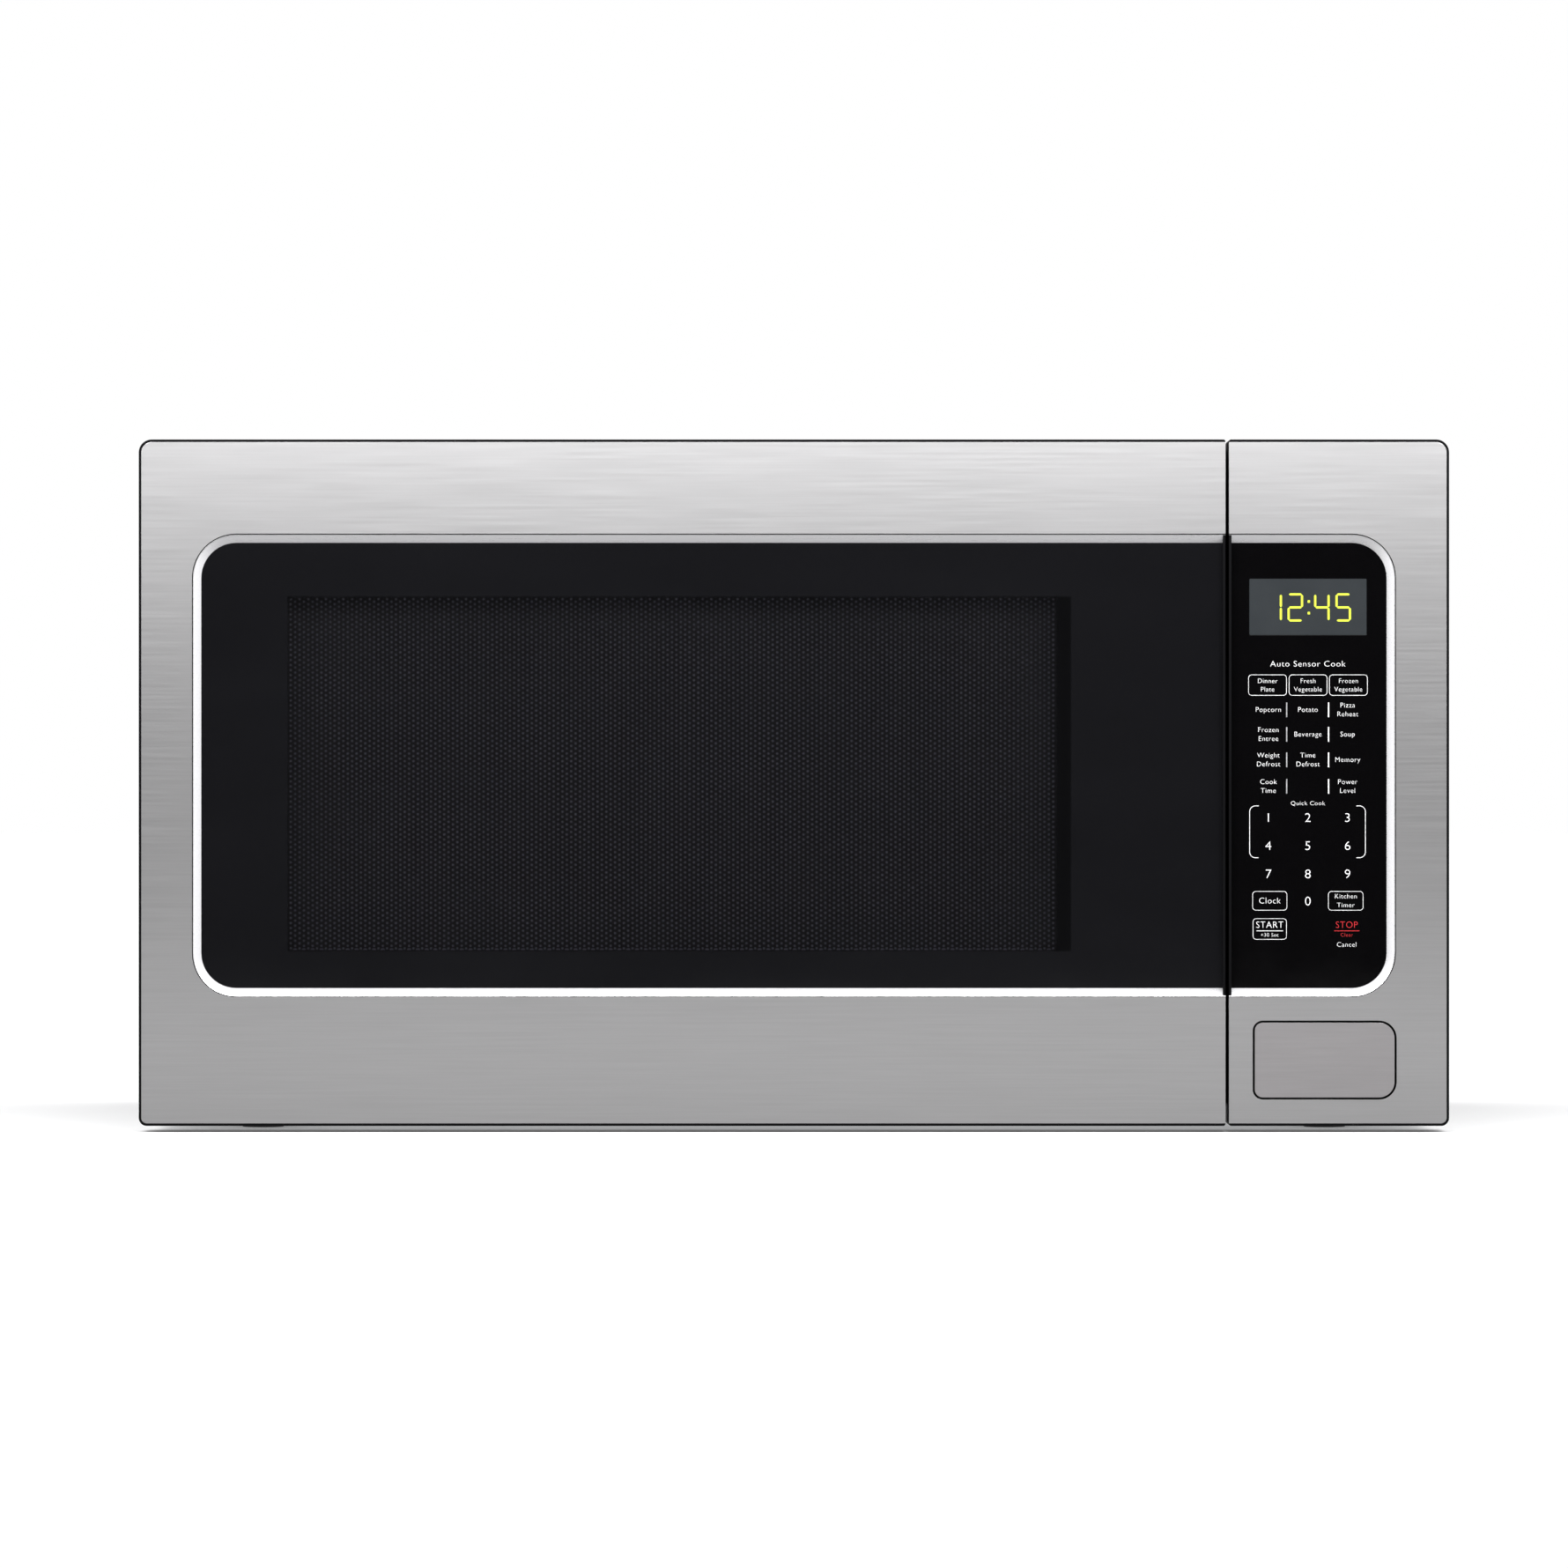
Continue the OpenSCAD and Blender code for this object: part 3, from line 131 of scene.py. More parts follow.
class Graph:
    """A node tree under construction, round one shader."""

    def __init__(self, tree: bpy.types.NodeTree, shader: str, target: str) -> None:
        """Clears the tree and joins a shader to its output.

        Args:
            tree: the node tree of a material or a world.
            shader: the type of the shader node.
            target: the type of the output node.
        """
        self.tree = tree
        self.tree.nodes.clear()
        self.shader = self.add(shader)
        output = self.add(target)
        self.tree.links.new(self.shader.outputs[0], output.inputs["Surface"])

    def add(self, kind: str, settings: dict[str, Any] | None = None,
            sockets: dict[Any, Any] | None = None) -> bpy.types.Node:
        """Adds one node.

        Args:
            kind: the node's type.
            settings: its properties; "stops" holds a ramp's (place, colour) pairs.
            sockets: a value or a link for each input, by name or number.

        Returns:
            The node.
        """
        node = self.tree.nodes.new(kind)
        for key, value in (settings or {}).items():
            if key == "stops":
                elements = node.color_ramp.elements
                while len(elements) < len(value):
                    elements.new(1.0)
                for element, (place, colour) in zip(elements, value):
                    element.position, element.color = place, (*colour, 1.0)
            else:
                setattr(node, key, value)
        for key, value in (sockets or {}).items():
            self.feed(node.inputs[key], value)
        return node

    def feed(self, socket: bpy.types.NodeSocket, value: Any) -> None:
        """Links a value to a socket, or sets the socket's own number or colour.

        Args:
            socket: the input.
            value: a Value, a number, a vector or a colour.
        """
        if isinstance(value, Value):
            self.tree.links.new(value.port, socket)
        elif socket.type == "RGBA" and len(value) == 3:
            socket.default_value = (*value, 1.0)
        else:
            socket.default_value = value

    def take(self, kind: str, output: str | int = 0, settings: dict[str, Any] | None = None,
             sockets: dict[Any, Any] | None = None) -> Value:
        """Adds one node and returns one of its outputs.

        Args:
            kind: the node's type.
            output: the output's name or number.
            settings: as for add.
            sockets: as for add.

        Returns:
            The output as a Value.
        """
        return Value(self, self.add(kind, settings, sockets).outputs[output])

    def math(self, operation: str, *terms: Any) -> Value:
        """Returns a Math node's result on the given terms."""
        return self.take("ShaderNodeMath", 0, {"operation": operation}, dict(enumerate(terms)))

    def place(self) -> Value:
        """Returns the point on the piece, in metres."""
        return self.take("ShaderNodeTexCoord", "Object")

    def axes(self) -> tuple[Value, Value, Value]:
        """Returns the point's X, Y and Z as three values."""
        node = self.add("ShaderNodeSeparateXYZ", sockets={0: self.place()})
        return tuple(Value(self, port) for port in node.outputs)

    def stretched(self, scale: Sequence[float]) -> Value:
        """Returns the point with each axis scaled."""
        return self.take("ShaderNodeMapping", 0, {}, {"Vector": self.place(), "Scale": scale})

    def noise(self, scale: Sequence[float], detail: float = 2.0, rough: float = 0.5) -> Value:
        """Adds a noise pattern.

        Args:
            scale: cells to the metre along each axis.
            detail: octaves.
            rough: strength of the finer octaves.

        Returns:
            The pattern, about 0 to 1.
        """
        return self.take("ShaderNodeTexNoise", 0, {}, {
            "Vector": self.stretched(scale), "Scale": 1.0, "Detail": detail, "Roughness": rough})

    def cells(self, scale: Sequence[float], output: str = "Distance") -> Value:
        """Returns a pattern of cells, at so many to the metre along each axis."""
        return self.take("ShaderNodeTexVoronoi", output, {}, {
            "Vector": self.stretched(scale), "Scale": 1.0})

    def ramp(self, factor: Value, *stops: tuple[float, Colour]) -> Value:
        """Returns a colour ramp's result, from (place, colour) stops."""
        return self.take("ShaderNodeValToRGB", "Color", {"stops": stops}, {"Fac": factor})

    def level(self, value: Value, low: float, high: float,
              to_low: float = 0.0, to_high: float = 1.0) -> Value:
        """Maps a value from one range to another, and holds it inside.

        Args:
            value: the value.
            low: where its range starts.
            high: where its range ends.
            to_low: what the start becomes.
            to_high: what the end becomes.

        Returns:
            The mapped value.
        """
        return self.take("ShaderNodeMapRange", 0, {"clamp": True}, {
            "Value": value, "From Min": low, "From Max": high,
            "To Min": to_low, "To Max": to_high})

    def mix(self, factor: Any, low: Any, high: Any) -> Value:
        """Returns a colour between two colours."""
        return self.take("ShaderNodeMix", 2, {"data_type": "RGBA"}, {0: factor, 6: low, 7: high})

    def bump(self, height: Value, distance: float, strength: float = 1.0) -> Value:
        """Returns a normal that follows a height pattern of that depth in metres."""
        return self.take("ShaderNodeBump", 0, {}, {
            "Height": height, "Distance": distance, "Strength": strength})

    def paint(self, **sockets: Any) -> None:
        """Sets or links the shader's sockets, named with _ for each space."""
        for key, value in sockets.items():
            self.feed(self.shader.inputs[key.replace("_", " ")], value)

    def inside(self, span: Span, along: Value, soft: float = 0.4 * MM) -> Value:
        """Returns 1 where a coordinate lies within a span and 0 outside, with soft ends."""
        middle, half = (span[0] + span[1]) / 2, (span[1] - span[0]) / 2
        return self.level(abs(along - middle), half + soft, half - soft)


# ---------------------------------------------------------------- finishes

class Grain(Enum):
    """The way that a sheet is brushed."""

    ACROSS = (18.0, 800.0, 800.0)
    FINE = (40.0, 900.0, 900.0)


@dataclass(frozen=True)
class Finish:
    """One surface finish, made into a material the first time it is asked for."""

    name: str
    colour: Colour
    rough: float = 0.5

    @cache
    def material(self) -> bpy.types.Material:
        """Makes the finish's material.

        Returns:
            The material, which is the same one at each call.
        """
        made = bpy.data.materials.new(self.name)
        made.use_nodes = True
        made.diffuse_color = (*self.colour, 1.0)
        self.build(Graph(made.node_tree, "ShaderNodeBsdfPrincipled", "ShaderNodeOutputMaterial"))
        return made

    def shade(self, share: float) -> Colour:
        """Returns the finish's colour, made lighter or darker."""
        return tuple(min(1.0, c * share) for c in self.colour)

    def build(self, g: Graph) -> None:
        """Fills the material's graph."""
        raise NotImplementedError


@dataclass(frozen=True)
class Brushed(Finish):
    """Brushed stainless sheet."""

    grain: Grain = Grain.ACROSS
    streak: float = 0.07

    def build(self, g: Graph) -> None:
        """Draws long streaks, a slow drift of tone and a fine scratch in the normal.

        Args:
            g: the material's graph.
        """
        x, y, z = self.grain.value
        lines = g.noise((x, y, z), 3.0, 0.6)
        hairs = g.noise((x / 4, y * 2, z * 2), 2.0, 0.6)
        drift = g.noise((2.2, 2.2, 3.1), 1.0)
        tone = g.level(lines * 0.55 + hairs * 0.3 + drift * 0.25, 0.35, 0.75)
        g.paint(Base_Color=g.mix(tone, self.shade(1 - self.streak), self.shade(1 + self.streak / 2)),
                Metallic=1.0,
                Roughness=g.level(lines, 0.3, 0.7, self.rough - 0.012, self.rough + 0.012),
                Normal=g.bump(lines, 0.001 * MM, 0.1))


@dataclass(frozen=True)
class Zinc(Finish):
    """Zinc-coated sheet with its spangle."""

    def build(self, g: Graph) -> None:
        """Draws the crystals of the coating and the dull haze over them.

        Args:
            g: the material's graph.
        """
        spangle = g.take("ShaderNodeTexVoronoi", "Color", {}, {
            "Vector": g.stretched((90, 90, 90)), "Scale": 1.0})
        grey = g.take("ShaderNodeRGBToBW", 0, {}, {0: spangle})
        haze = g.noise((14, 14, 14), 4.0)
        g.paint(Base_Color=g.mix(grey * 0.5 + haze * 0.5, self.shade(0.78), self.shade(1.12)),
                Metallic=0.85,
                Roughness=g.level(grey + haze, 0.4, 1.5, self.rough - 0.1, self.rough + 0.12),
                Normal=g.bump(g.noise((700, 700, 700), 2.0), 0.02 * MM, 0.4))


@dataclass(frozen=True)
class Painted(Finish):
    """Powder paint on sheet, with a texture of its own size."""

    grain: float = 800.0
    depth: float = 0.08 * MM
    shine: float = 0.35

    def build(self, g: Graph) -> None:
        """Draws the grain of the powder and faint patches of wear.

        Args:
            g: the material's graph.
        """
        grit = g.noise((self.grain,) * 3, 3.0, 0.6)
        patch = g.noise((11, 11, 11), 3.0)
        g.paint(Base_Color=g.mix(grit * 0.6 + patch * 0.4, self.shade(0.82), self.shade(1.2)),
                Specular_IOR_Level=self.shine,
                Roughness=g.level(patch * 0.5 + grit, 0.4, 1.1, self.rough - 0.04, self.rough + 0.05),
                Normal=g.bump(grit, self.depth, 0.6))


@dataclass(frozen=True)
class Moulded(Finish):
    """Moulded plastic with the fine grain of its tool."""

    grain: float = 1500.0
    depth: float = 0.03 * MM
    shine: float = 0.45

    def build(self, g: Graph) -> None:
        """Draws the tool's grain, flow marks and a little handling shine.

        Args:
            g: the material's graph.
        """
        grit = g.cells((self.grain,) * 3)
        flow = g.noise((5, 18, 9), 3.0, 0.55)
        g.paint(Base_Color=g.mix(flow, self.shade(0.85), self.shade(1.18)),
                Roughness=g.level(flow + grit * 0.2, 0.3, 0.9, self.rough - 0.07, self.rough + 0.07),
                Specular_IOR_Level=self.shine, Normal=g.bump(grit, self.depth, 0.5))


@dataclass(frozen=True)
class Gloss(Finish):
    """A smooth overlay or panel with a faint orange peel and a trace of dust."""

    shine: float = 0.35

    def build(self, g: Graph) -> None:
        """Draws the peel of the lacquer and the dust that dulls it.

        Args:
            g: the material's graph.
        """
        dust = g.noise((60, 60, 60), 5.0, 0.65)
        g.paint(Base_Color=g.mix(dust, self.shade(0.9), self.shade(1.15)),
                Roughness=g.level(dust, 0.35, 0.8, self.rough, self.rough + 0.08),
                Specular_IOR_Level=self.shine,
                Normal=g.bump(g.noise((90, 90, 90), 1.0), 0.02 * MM, 0.2))


@dataclass(frozen=True)
class PrintedGlass(Finish):
    """Tinted glass that is printed black all round a clear field."""

    field_x: Span = (0.0, 0.0)
    field_z: Span = (0.0, 0.0)
    # painted shade: how wide the darker strip beside the clear field runs
    margin_shade_width: float = 6.5 * MM
    tint: float = 0.46
    edge_x: float = 0.0
    # painted highlight: a lighter colour for the glass's right edge, standing in for the light that
    # its polished edge catches
    painted_edge_highlight: Colour = (0.12, 0.118, 0.135)

    def build(self, g: Graph) -> None:
        """Draws the print, a darker strip beside the field that is painted shade for the screen's
        plain margin seen dimly through the glass, a painted highlight along the glass's right edge,
        and smears.

        Args:
            g: the material's graph.
        """
        x, _, z = g.axes()
        clear = g.inside(self.field_x, x) * g.inside(self.field_z, z)
        # painted shade: an opaque, darker strip right of the clear field stands in for the screen's
        # plain margin seen dimly through the tinted glass
        painted_margin_shade = g.inside((self.field_x[1], self.field_x[1] + self.margin_shade_width), x) * g.inside(self.field_z, z)
        smear = g.noise((9, 9, 26), 4.0, 0.6)
        print_black = g.mix(smear, self.shade(0.8), self.shade(1.25))
        # painted highlight: the lighter line along the door glass's right edge
        edge = g.inside((self.edge_x - 0.7 * MM, self.edge_x + 0.5 * MM), x, 0.1 * MM)
        g.paint(Base_Color=g.mix(edge, g.mix(painted_margin_shade, print_black, self.shade(0.35)), self.painted_edge_highlight),
                Roughness=g.level(smear, 0.3, 0.8, self.rough, self.rough + 0.05),
                Specular_IOR_Level=0.4,
                Alpha=1 - clear * (1 - self.tint))


@dataclass(frozen=True)
class Clear(Finish):
    """Clear sheet or moulded glass, seen by its edges and its gloss."""

    cover: float = 0.25
    pass_light: float = 0.0

    def build(self, g: Graph) -> None:
        """Draws faint haze and the slow waves of the sheet.

        Args:
            g: the material's graph.
        """
        haze = g.noise((40, 40, 40), 4.0, 0.6)
        g.paint(Base_Color=g.mix(haze, self.shade(0.9), self.shade(1.08)),
                Roughness=g.level(haze, 0.3, 0.8, self.rough, self.rough + 0.06),
                Transmission_Weight=self.pass_light,
                Alpha=g.level(haze, 0.2, 0.8, self.cover - 0.03, self.cover + 0.03),
                Normal=g.bump(g.noise((25, 25, 25), 1.0), 0.15 * MM, 0.3))


@dataclass(frozen=True)
class Film(Finish):
    """Film on the screen's back: pale through the holes in front; behind, the screen's black with
    lighter dots of painted light at its holes.
    """

    pitch: float = SCREEN_PITCH
    hole: float = SCREEN_HOLE
    behind: float = 0.0
    dark: Colour = (0.008, 0.008, 0.009)
    # painted light: lighter dot colour for the light that the screen's holes let through
    painted_hole_light: Colour = (0.05, 0.05, 0.056)

    def build(self, g: Graph) -> None:
        """Draws the screen's black on the side that faces the oven, with lighter dots of painted light
        where its holes would let light through, under a gloss.

        Args:
            g: the material's graph.
        """
        x, y, z = g.axes()
        across = self.pitch * math.sqrt(3)
        near = []
        for shift in (0.0, 0.5):
            dx = (g.math("FRACT", x / across + shift) - 0.5) * across
            dz = (g.math("FRACT", z / self.pitch + shift) - 0.5) * self.pitch
            near.append(dx * dx + dz * dz)
        # painted light: the hole pattern where the lighter dots are painted
        lit_holes = g.math("MINIMUM", *near) < self.hole ** 2
        haze = g.noise((30, 30, 30), 4.0, 0.6)
        g.paint(Base_Color=g.mix(y > self.behind, g.mix(haze, self.shade(0.92), self.shade(1.05)),
                                 g.mix(lit_holes, self.dark, self.painted_hole_light)),
                Roughness=g.level(haze, 0.3, 0.8, self.rough, self.rough + 0.08),
                Normal=g.bump(g.noise((22, 22, 22), 1.0), 0.1 * MM, 0.3))


@dataclass(frozen=True)
class Metal(Finish):
    """Bare or plated metal part with tool marks."""

    marks: float = 500.0

    def build(self, g: Graph) -> None:
        """Draws tool marks, and stains in tone and gloss.

        Args:
            g: the material's graph.
        """
        stain = g.noise((35, 35, 35), 4.0, 0.6)
        tool = g.noise((self.marks, self.marks, self.marks * 3), 2.0)
        g.paint(Base_Color=g.mix(stain, self.shade(0.8), self.shade(1.12)), Metallic=1.0,
                Roughness=g.level(stain + tool * 0.4, 0.4, 1.0, self.rough - 0.06, self.rough + 0.1),
                Normal=g.bump(tool, 0.03 * MM, 0.4))


@dataclass(frozen=True)
class Banded(Finish):
    """Stacked laminations, wound wire or fins: thin bands along one axis."""

    axis: int = 2
    pitch: float = 1.0 * MM
    metal: float = 1.0

    def build(self, g: Graph) -> None:
        """Draws one dark line for each band, with uneven tone between them.

        Args:
            g: the material's graph.
        """
        along = g.axes()[self.axis]
        wave = abs(g.math("FRACT", along / self.pitch) - 0.5) * 2
        stain = g.noise((60, 60, 60), 3.0)
        g.paint(Base_Color=g.mix(g.level(wave, 0.02, 0.35) * (stain * 0.4 + 0.7),
                                 self.shade(0.35), self.shade(1.15)),
                Metallic=self.metal,
                Roughness=g.level(stain, 0.3, 0.7, self.rough - 0.08, self.rough + 0.1),
                Normal=g.bump(wave, 0.2 * MM, 0.5))


@dataclass(frozen=True)
class Board(Finish):
    """Circuit board: lacquer over copper tracks and pads."""

    def build(self, g: Graph) -> None:
        """Draws square tracks under the lacquer and bright pads through it.

        Args:
            g: the material's graph.
        """
        tracks = g.take("ShaderNodeTexBrick", 1, {"offset": 0.5}, {
            "Vector": g.take("ShaderNodeCombineXYZ", 0, {}, dict(enumerate(
                (g.axes()[0] * 160, g.axes()[2] * 160, 0.0)))),
            "Scale": 1.0, "Mortar Size": 0.06})
        pads = g.cells((260, 260, 260)) < 0.16
        lacquer = g.mix(tracks, self.colour, self.shade(1.8))
        g.paint(Base_Color=g.mix(pads, lacquer, (0.6, 0.58, 0.52)), Metallic=pads * 0.9,
                Roughness=g.level(tracks, 0, 1, self.rough, self.rough - 0.1),
                Normal=g.bump(tracks + pads, 0.05 * MM))


@dataclass(frozen=True)
class Mica(Finish):
    """Flaky mica sheet."""

    def build(self, g: Graph) -> None:
        """Draws overlapping flakes with a dull sheen.

        Args:
            g: the material's graph.
        """
        flakes = g.cells((180, 180, 180), "Color")
        grey = g.take("ShaderNodeRGBToBW", 0, {}, {0: flakes})
        g.paint(Base_Color=g.mix(grey, self.shade(0.72), self.shade(1.15)),
                Roughness=g.level(grey, 0, 1, self.rough - 0.12, self.rough + 0.12),
                Normal=g.bump(grey, 0.05 * MM, 0.5))


@dataclass(frozen=True)
class Lit(Finish):
    """A lamp or a lit segment."""

    power: float = 1.0

    def build(self, g: Graph) -> None:
        """Gives a steady light with a slightly uneven phosphor.

        Args:
            g: the material's graph.
        """
        grain = g.noise((1800, 1800, 1800), 2.0)
        g.paint(Base_Color=self.shade(0.4), Roughness=self.rough, Emission_Strength=self.power,
                Emission_Color=g.mix(grain, self.shade(0.85), self.shade(1.05)))


@dataclass(frozen=True)
class Ink(Finish):
    """Screen-printed ink."""

    def build(self, g: Graph) -> None:
        """Draws the mottle of thin ink over black.

        Args:
            g: the material's graph.
        """
        mottle = g.noise((900, 900, 900), 3.0)
        g.paint(Base_Color=g.mix(g.level(mottle, 0.3, 0.65), self.shade(0.62), self.colour),
                Roughness=self.rough, Normal=g.bump(mottle, 0.01 * MM, 0.5))


@dataclass(frozen=True)
class Paper(Finish):
    """Lit studio paper."""

    glow: float = 0.0

    def build(self, g: Graph) -> None:
        """Gives pale paper that passes on the light under it.

        Args:
            g: the material's graph.
        """
        g.paint(Base_Color=self.colour, Roughness=self.rough, Specular_IOR_Level=0.0,
                Emission_Color=(1.0, 1.0, 1.0), Emission_Strength=self.glow)


DARK = (0.0037, 0.0037, 0.0044)
STEEL = Brushed("brushed_steel", (0.63, 0.625, 0.632), 0.38)
BUTTON_STEEL = Brushed("brushed_button_steel", (0.56, 0.54, 0.55), 0.42, Grain.FINE)
# painted highlight: the rims are the faces' own steel, but with a much lighter colour and a smoother
# finish so that they come out bright
LIGHTENED_RIM_STEEL = Brushed("rim_steel_painted_highlight", (0.93, 0.925, 0.94), 0.28, Grain.FINE, 0.04)
FRAME_BLACK = Moulded("frame_plastic", (0.003, 0.003, 0.0035), 0.5, shine=0.05)
KEYPAD_BLACK = Gloss("keypad_gloss", (0.0012, 0.0011, 0.0013), 0.09, 0.15)
DISPLAY_GREY = Gloss("display_grey", (0.0205, 0.0235, 0.026), 0.2)
SCREEN_BLACK = Painted("screen_enamel", (0.006, 0.0056, 0.0075), 0.5, 1500.0, 0.02 * MM)
INNER_FILM = Film("inner_film", (0.6, 0.585, 0.735), 0.2,
                  behind=sum(corner.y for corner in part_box("inner_window")) / 2)
WHITE_INK = Ink("white_ink", (0.85, 0.85, 0.86), 0.5)
GREY_INK = Ink("grey_ink", (0.3, 0.3, 0.31), 0.5)
RED_INK = Ink("red_ink", (0.5, 0.004, 0.01), 0.5)
DIGIT_GLOW = Lit("digit_glow", (0.68, 0.78, 0.045), 0.4, 0.95)
TRAY_CLEAR = Clear("tray_glass", (0.86, 0.93, 0.91), 0.04, 0.45, 0.85)

SLOT_FINISHES: dict[str, Finish] = {
    "stainless": STEEL,
    "stainless_button": BUTTON_STEEL,
    "cabinet_paint": Painted("cabinet_paint", (0.017, 0.017, 0.0185), 0.45, 900.0, 0.12 * MM),
    "zinc": Zinc("zinc_sheet", (0.55, 0.56, 0.57), 0.42),
    "cavity_enamel": Painted("cavity_enamel", (0.62, 0.62, 0.6), 0.34, 1300.0, 0.03 * MM),
    "plate_paint": Painted("plate_paint", (0.012, 0.012, 0.0135), 0.35, 1300.0, 0.02 * MM),
    "frame_plastic": FRAME_BLACK,
    "dark_glass": Gloss("dark_glass", DARK, 0.05),
    "clear_window": INNER_FILM,
    "keypad_gloss": KEYPAD_BLACK,
    "display_tint": DISPLAY_GREY,
    "display_glow": Gloss("display_module", (0.03, 0.04, 0.035), 0.3),
    "screen_steel": SCREEN_BLACK,
    "choke_enamel": Painted("choke_enamel", (0.1, 0.1, 0.105), 0.4, 1200.0, 0.03 * MM),
    "cover_plastic": Moulded("cover_plastic", (0.016, 0.016, 0.018), 0.5),
    "tray_glass": TRAY_CLEAR,
    "white_plastic": Moulded("white_plastic", (0.78, 0.78, 0.74), 0.45),
    "latch_plastic": Moulded("latch_nylon", (0.72, 0.69, 0.6), 0.4),
    "black_plastic": Moulded("black_plastic", (0.014, 0.014, 0.015), 0.45),
    "red_plastic": Moulded("red_plastic", (0.5, 0.02, 0.016), 0.4),
    "foot_rubber": Moulded("foot_rubber", (0.02, 0.02, 0.021), 0.75, 700.0, 0.08 * MM),
    "mica": Mica("mica_sheet", (0.52, 0.45, 0.32), 0.45),
    "spring_steel": Metal("spring_steel", (0.5, 0.5, 0.51), 0.28),
    "screw_steel": Metal("screw_steel", (0.62, 0.62, 0.63), 0.3),
    "copper_fins": Banded("copper_fins", (0.78, 0.6, 0.48), 0.3, 2, 4.0 * MM),
    "core_steel": Banded("core_laminations", (0.17, 0.16, 0.16), 0.45, 0, 0.8 * MM, 0.7),
    "winding": Banded("winding_wire", (0.5, 0.2, 0.08), 0.3, 2, 0.9 * MM),
    "can_metal": Metal("capacitor_can", (0.68, 0.68, 0.69), 0.32, 200.0),
    "motor_metal": Zinc("motor_metal", (0.4, 0.41, 0.43), 0.45),
    "duct_plastic": Moulded("duct_plastic", (0.14, 0.14, 0.15), 0.5),
    "board_green": Board("circuit_board", (0.015, 0.09, 0.03), 0.35),
    "lamp_white": Gloss("lamp_white", (0.78, 0.75, 0.66), 0.3),
    "fan_plastic": Moulded("fan_plastic", (0.6, 0.63, 0.65), 0.4),
}


# ---------------------------------------------------------------- shaping

@dataclass(frozen=True)
class Outline:
    """A rectangle in X and Z with its own radius at each corner.

    The radii go bottom left, bottom right, top right, top left.
    """

    x: Span
    z: Span
    radii: tuple[float, float, float, float]

    @classmethod
    def even(cls, x: Span, z: Span, radius: float) -> "Outline":
        """Returns an outline with one radius at all four corners."""
        return cls(x, z, (radius,) * 4)

    def grown(self, by: float) -> "Outline":
        """Returns the outline moved outwards by a distance, or inwards if it is negative."""
        return Outline((self.x[0] - by, self.x[1] + by), (self.z[0] - by, self.z[1] + by),
                       tuple(max(r + by, 0.3 * MM) for r in self.radii))

    def draw(self, bm: bmesh.types.BMesh, y: float, segments: int = 12) -> bmesh.types.BMFace:
        """Adds the outline to a mesh as one face.

        Args:
            bm: the mesh.
            y: how far back the face stands.
            segments: edges in a corner's arc.

        Returns:
            The face.
        """
        corners = ((0, 0), (1, 0), (1, 1), (0, 1))
        verts = [bm.verts.new((self.x[i], y, self.z[j])) for i, j in corners]
        bm.faces.new(verts)
        for vert, radius in zip(verts, self.radii):
            bmesh.ops.bevel(bm, geom=[vert], offset=radius, offset_type="OFFSET",
                            affect="VERTICES", segments=segments, profile=0.5,
                            material=-1, clamp_overlap=False)
        bm.faces.ensure_lookup_table()
        return bm.faces[-1]


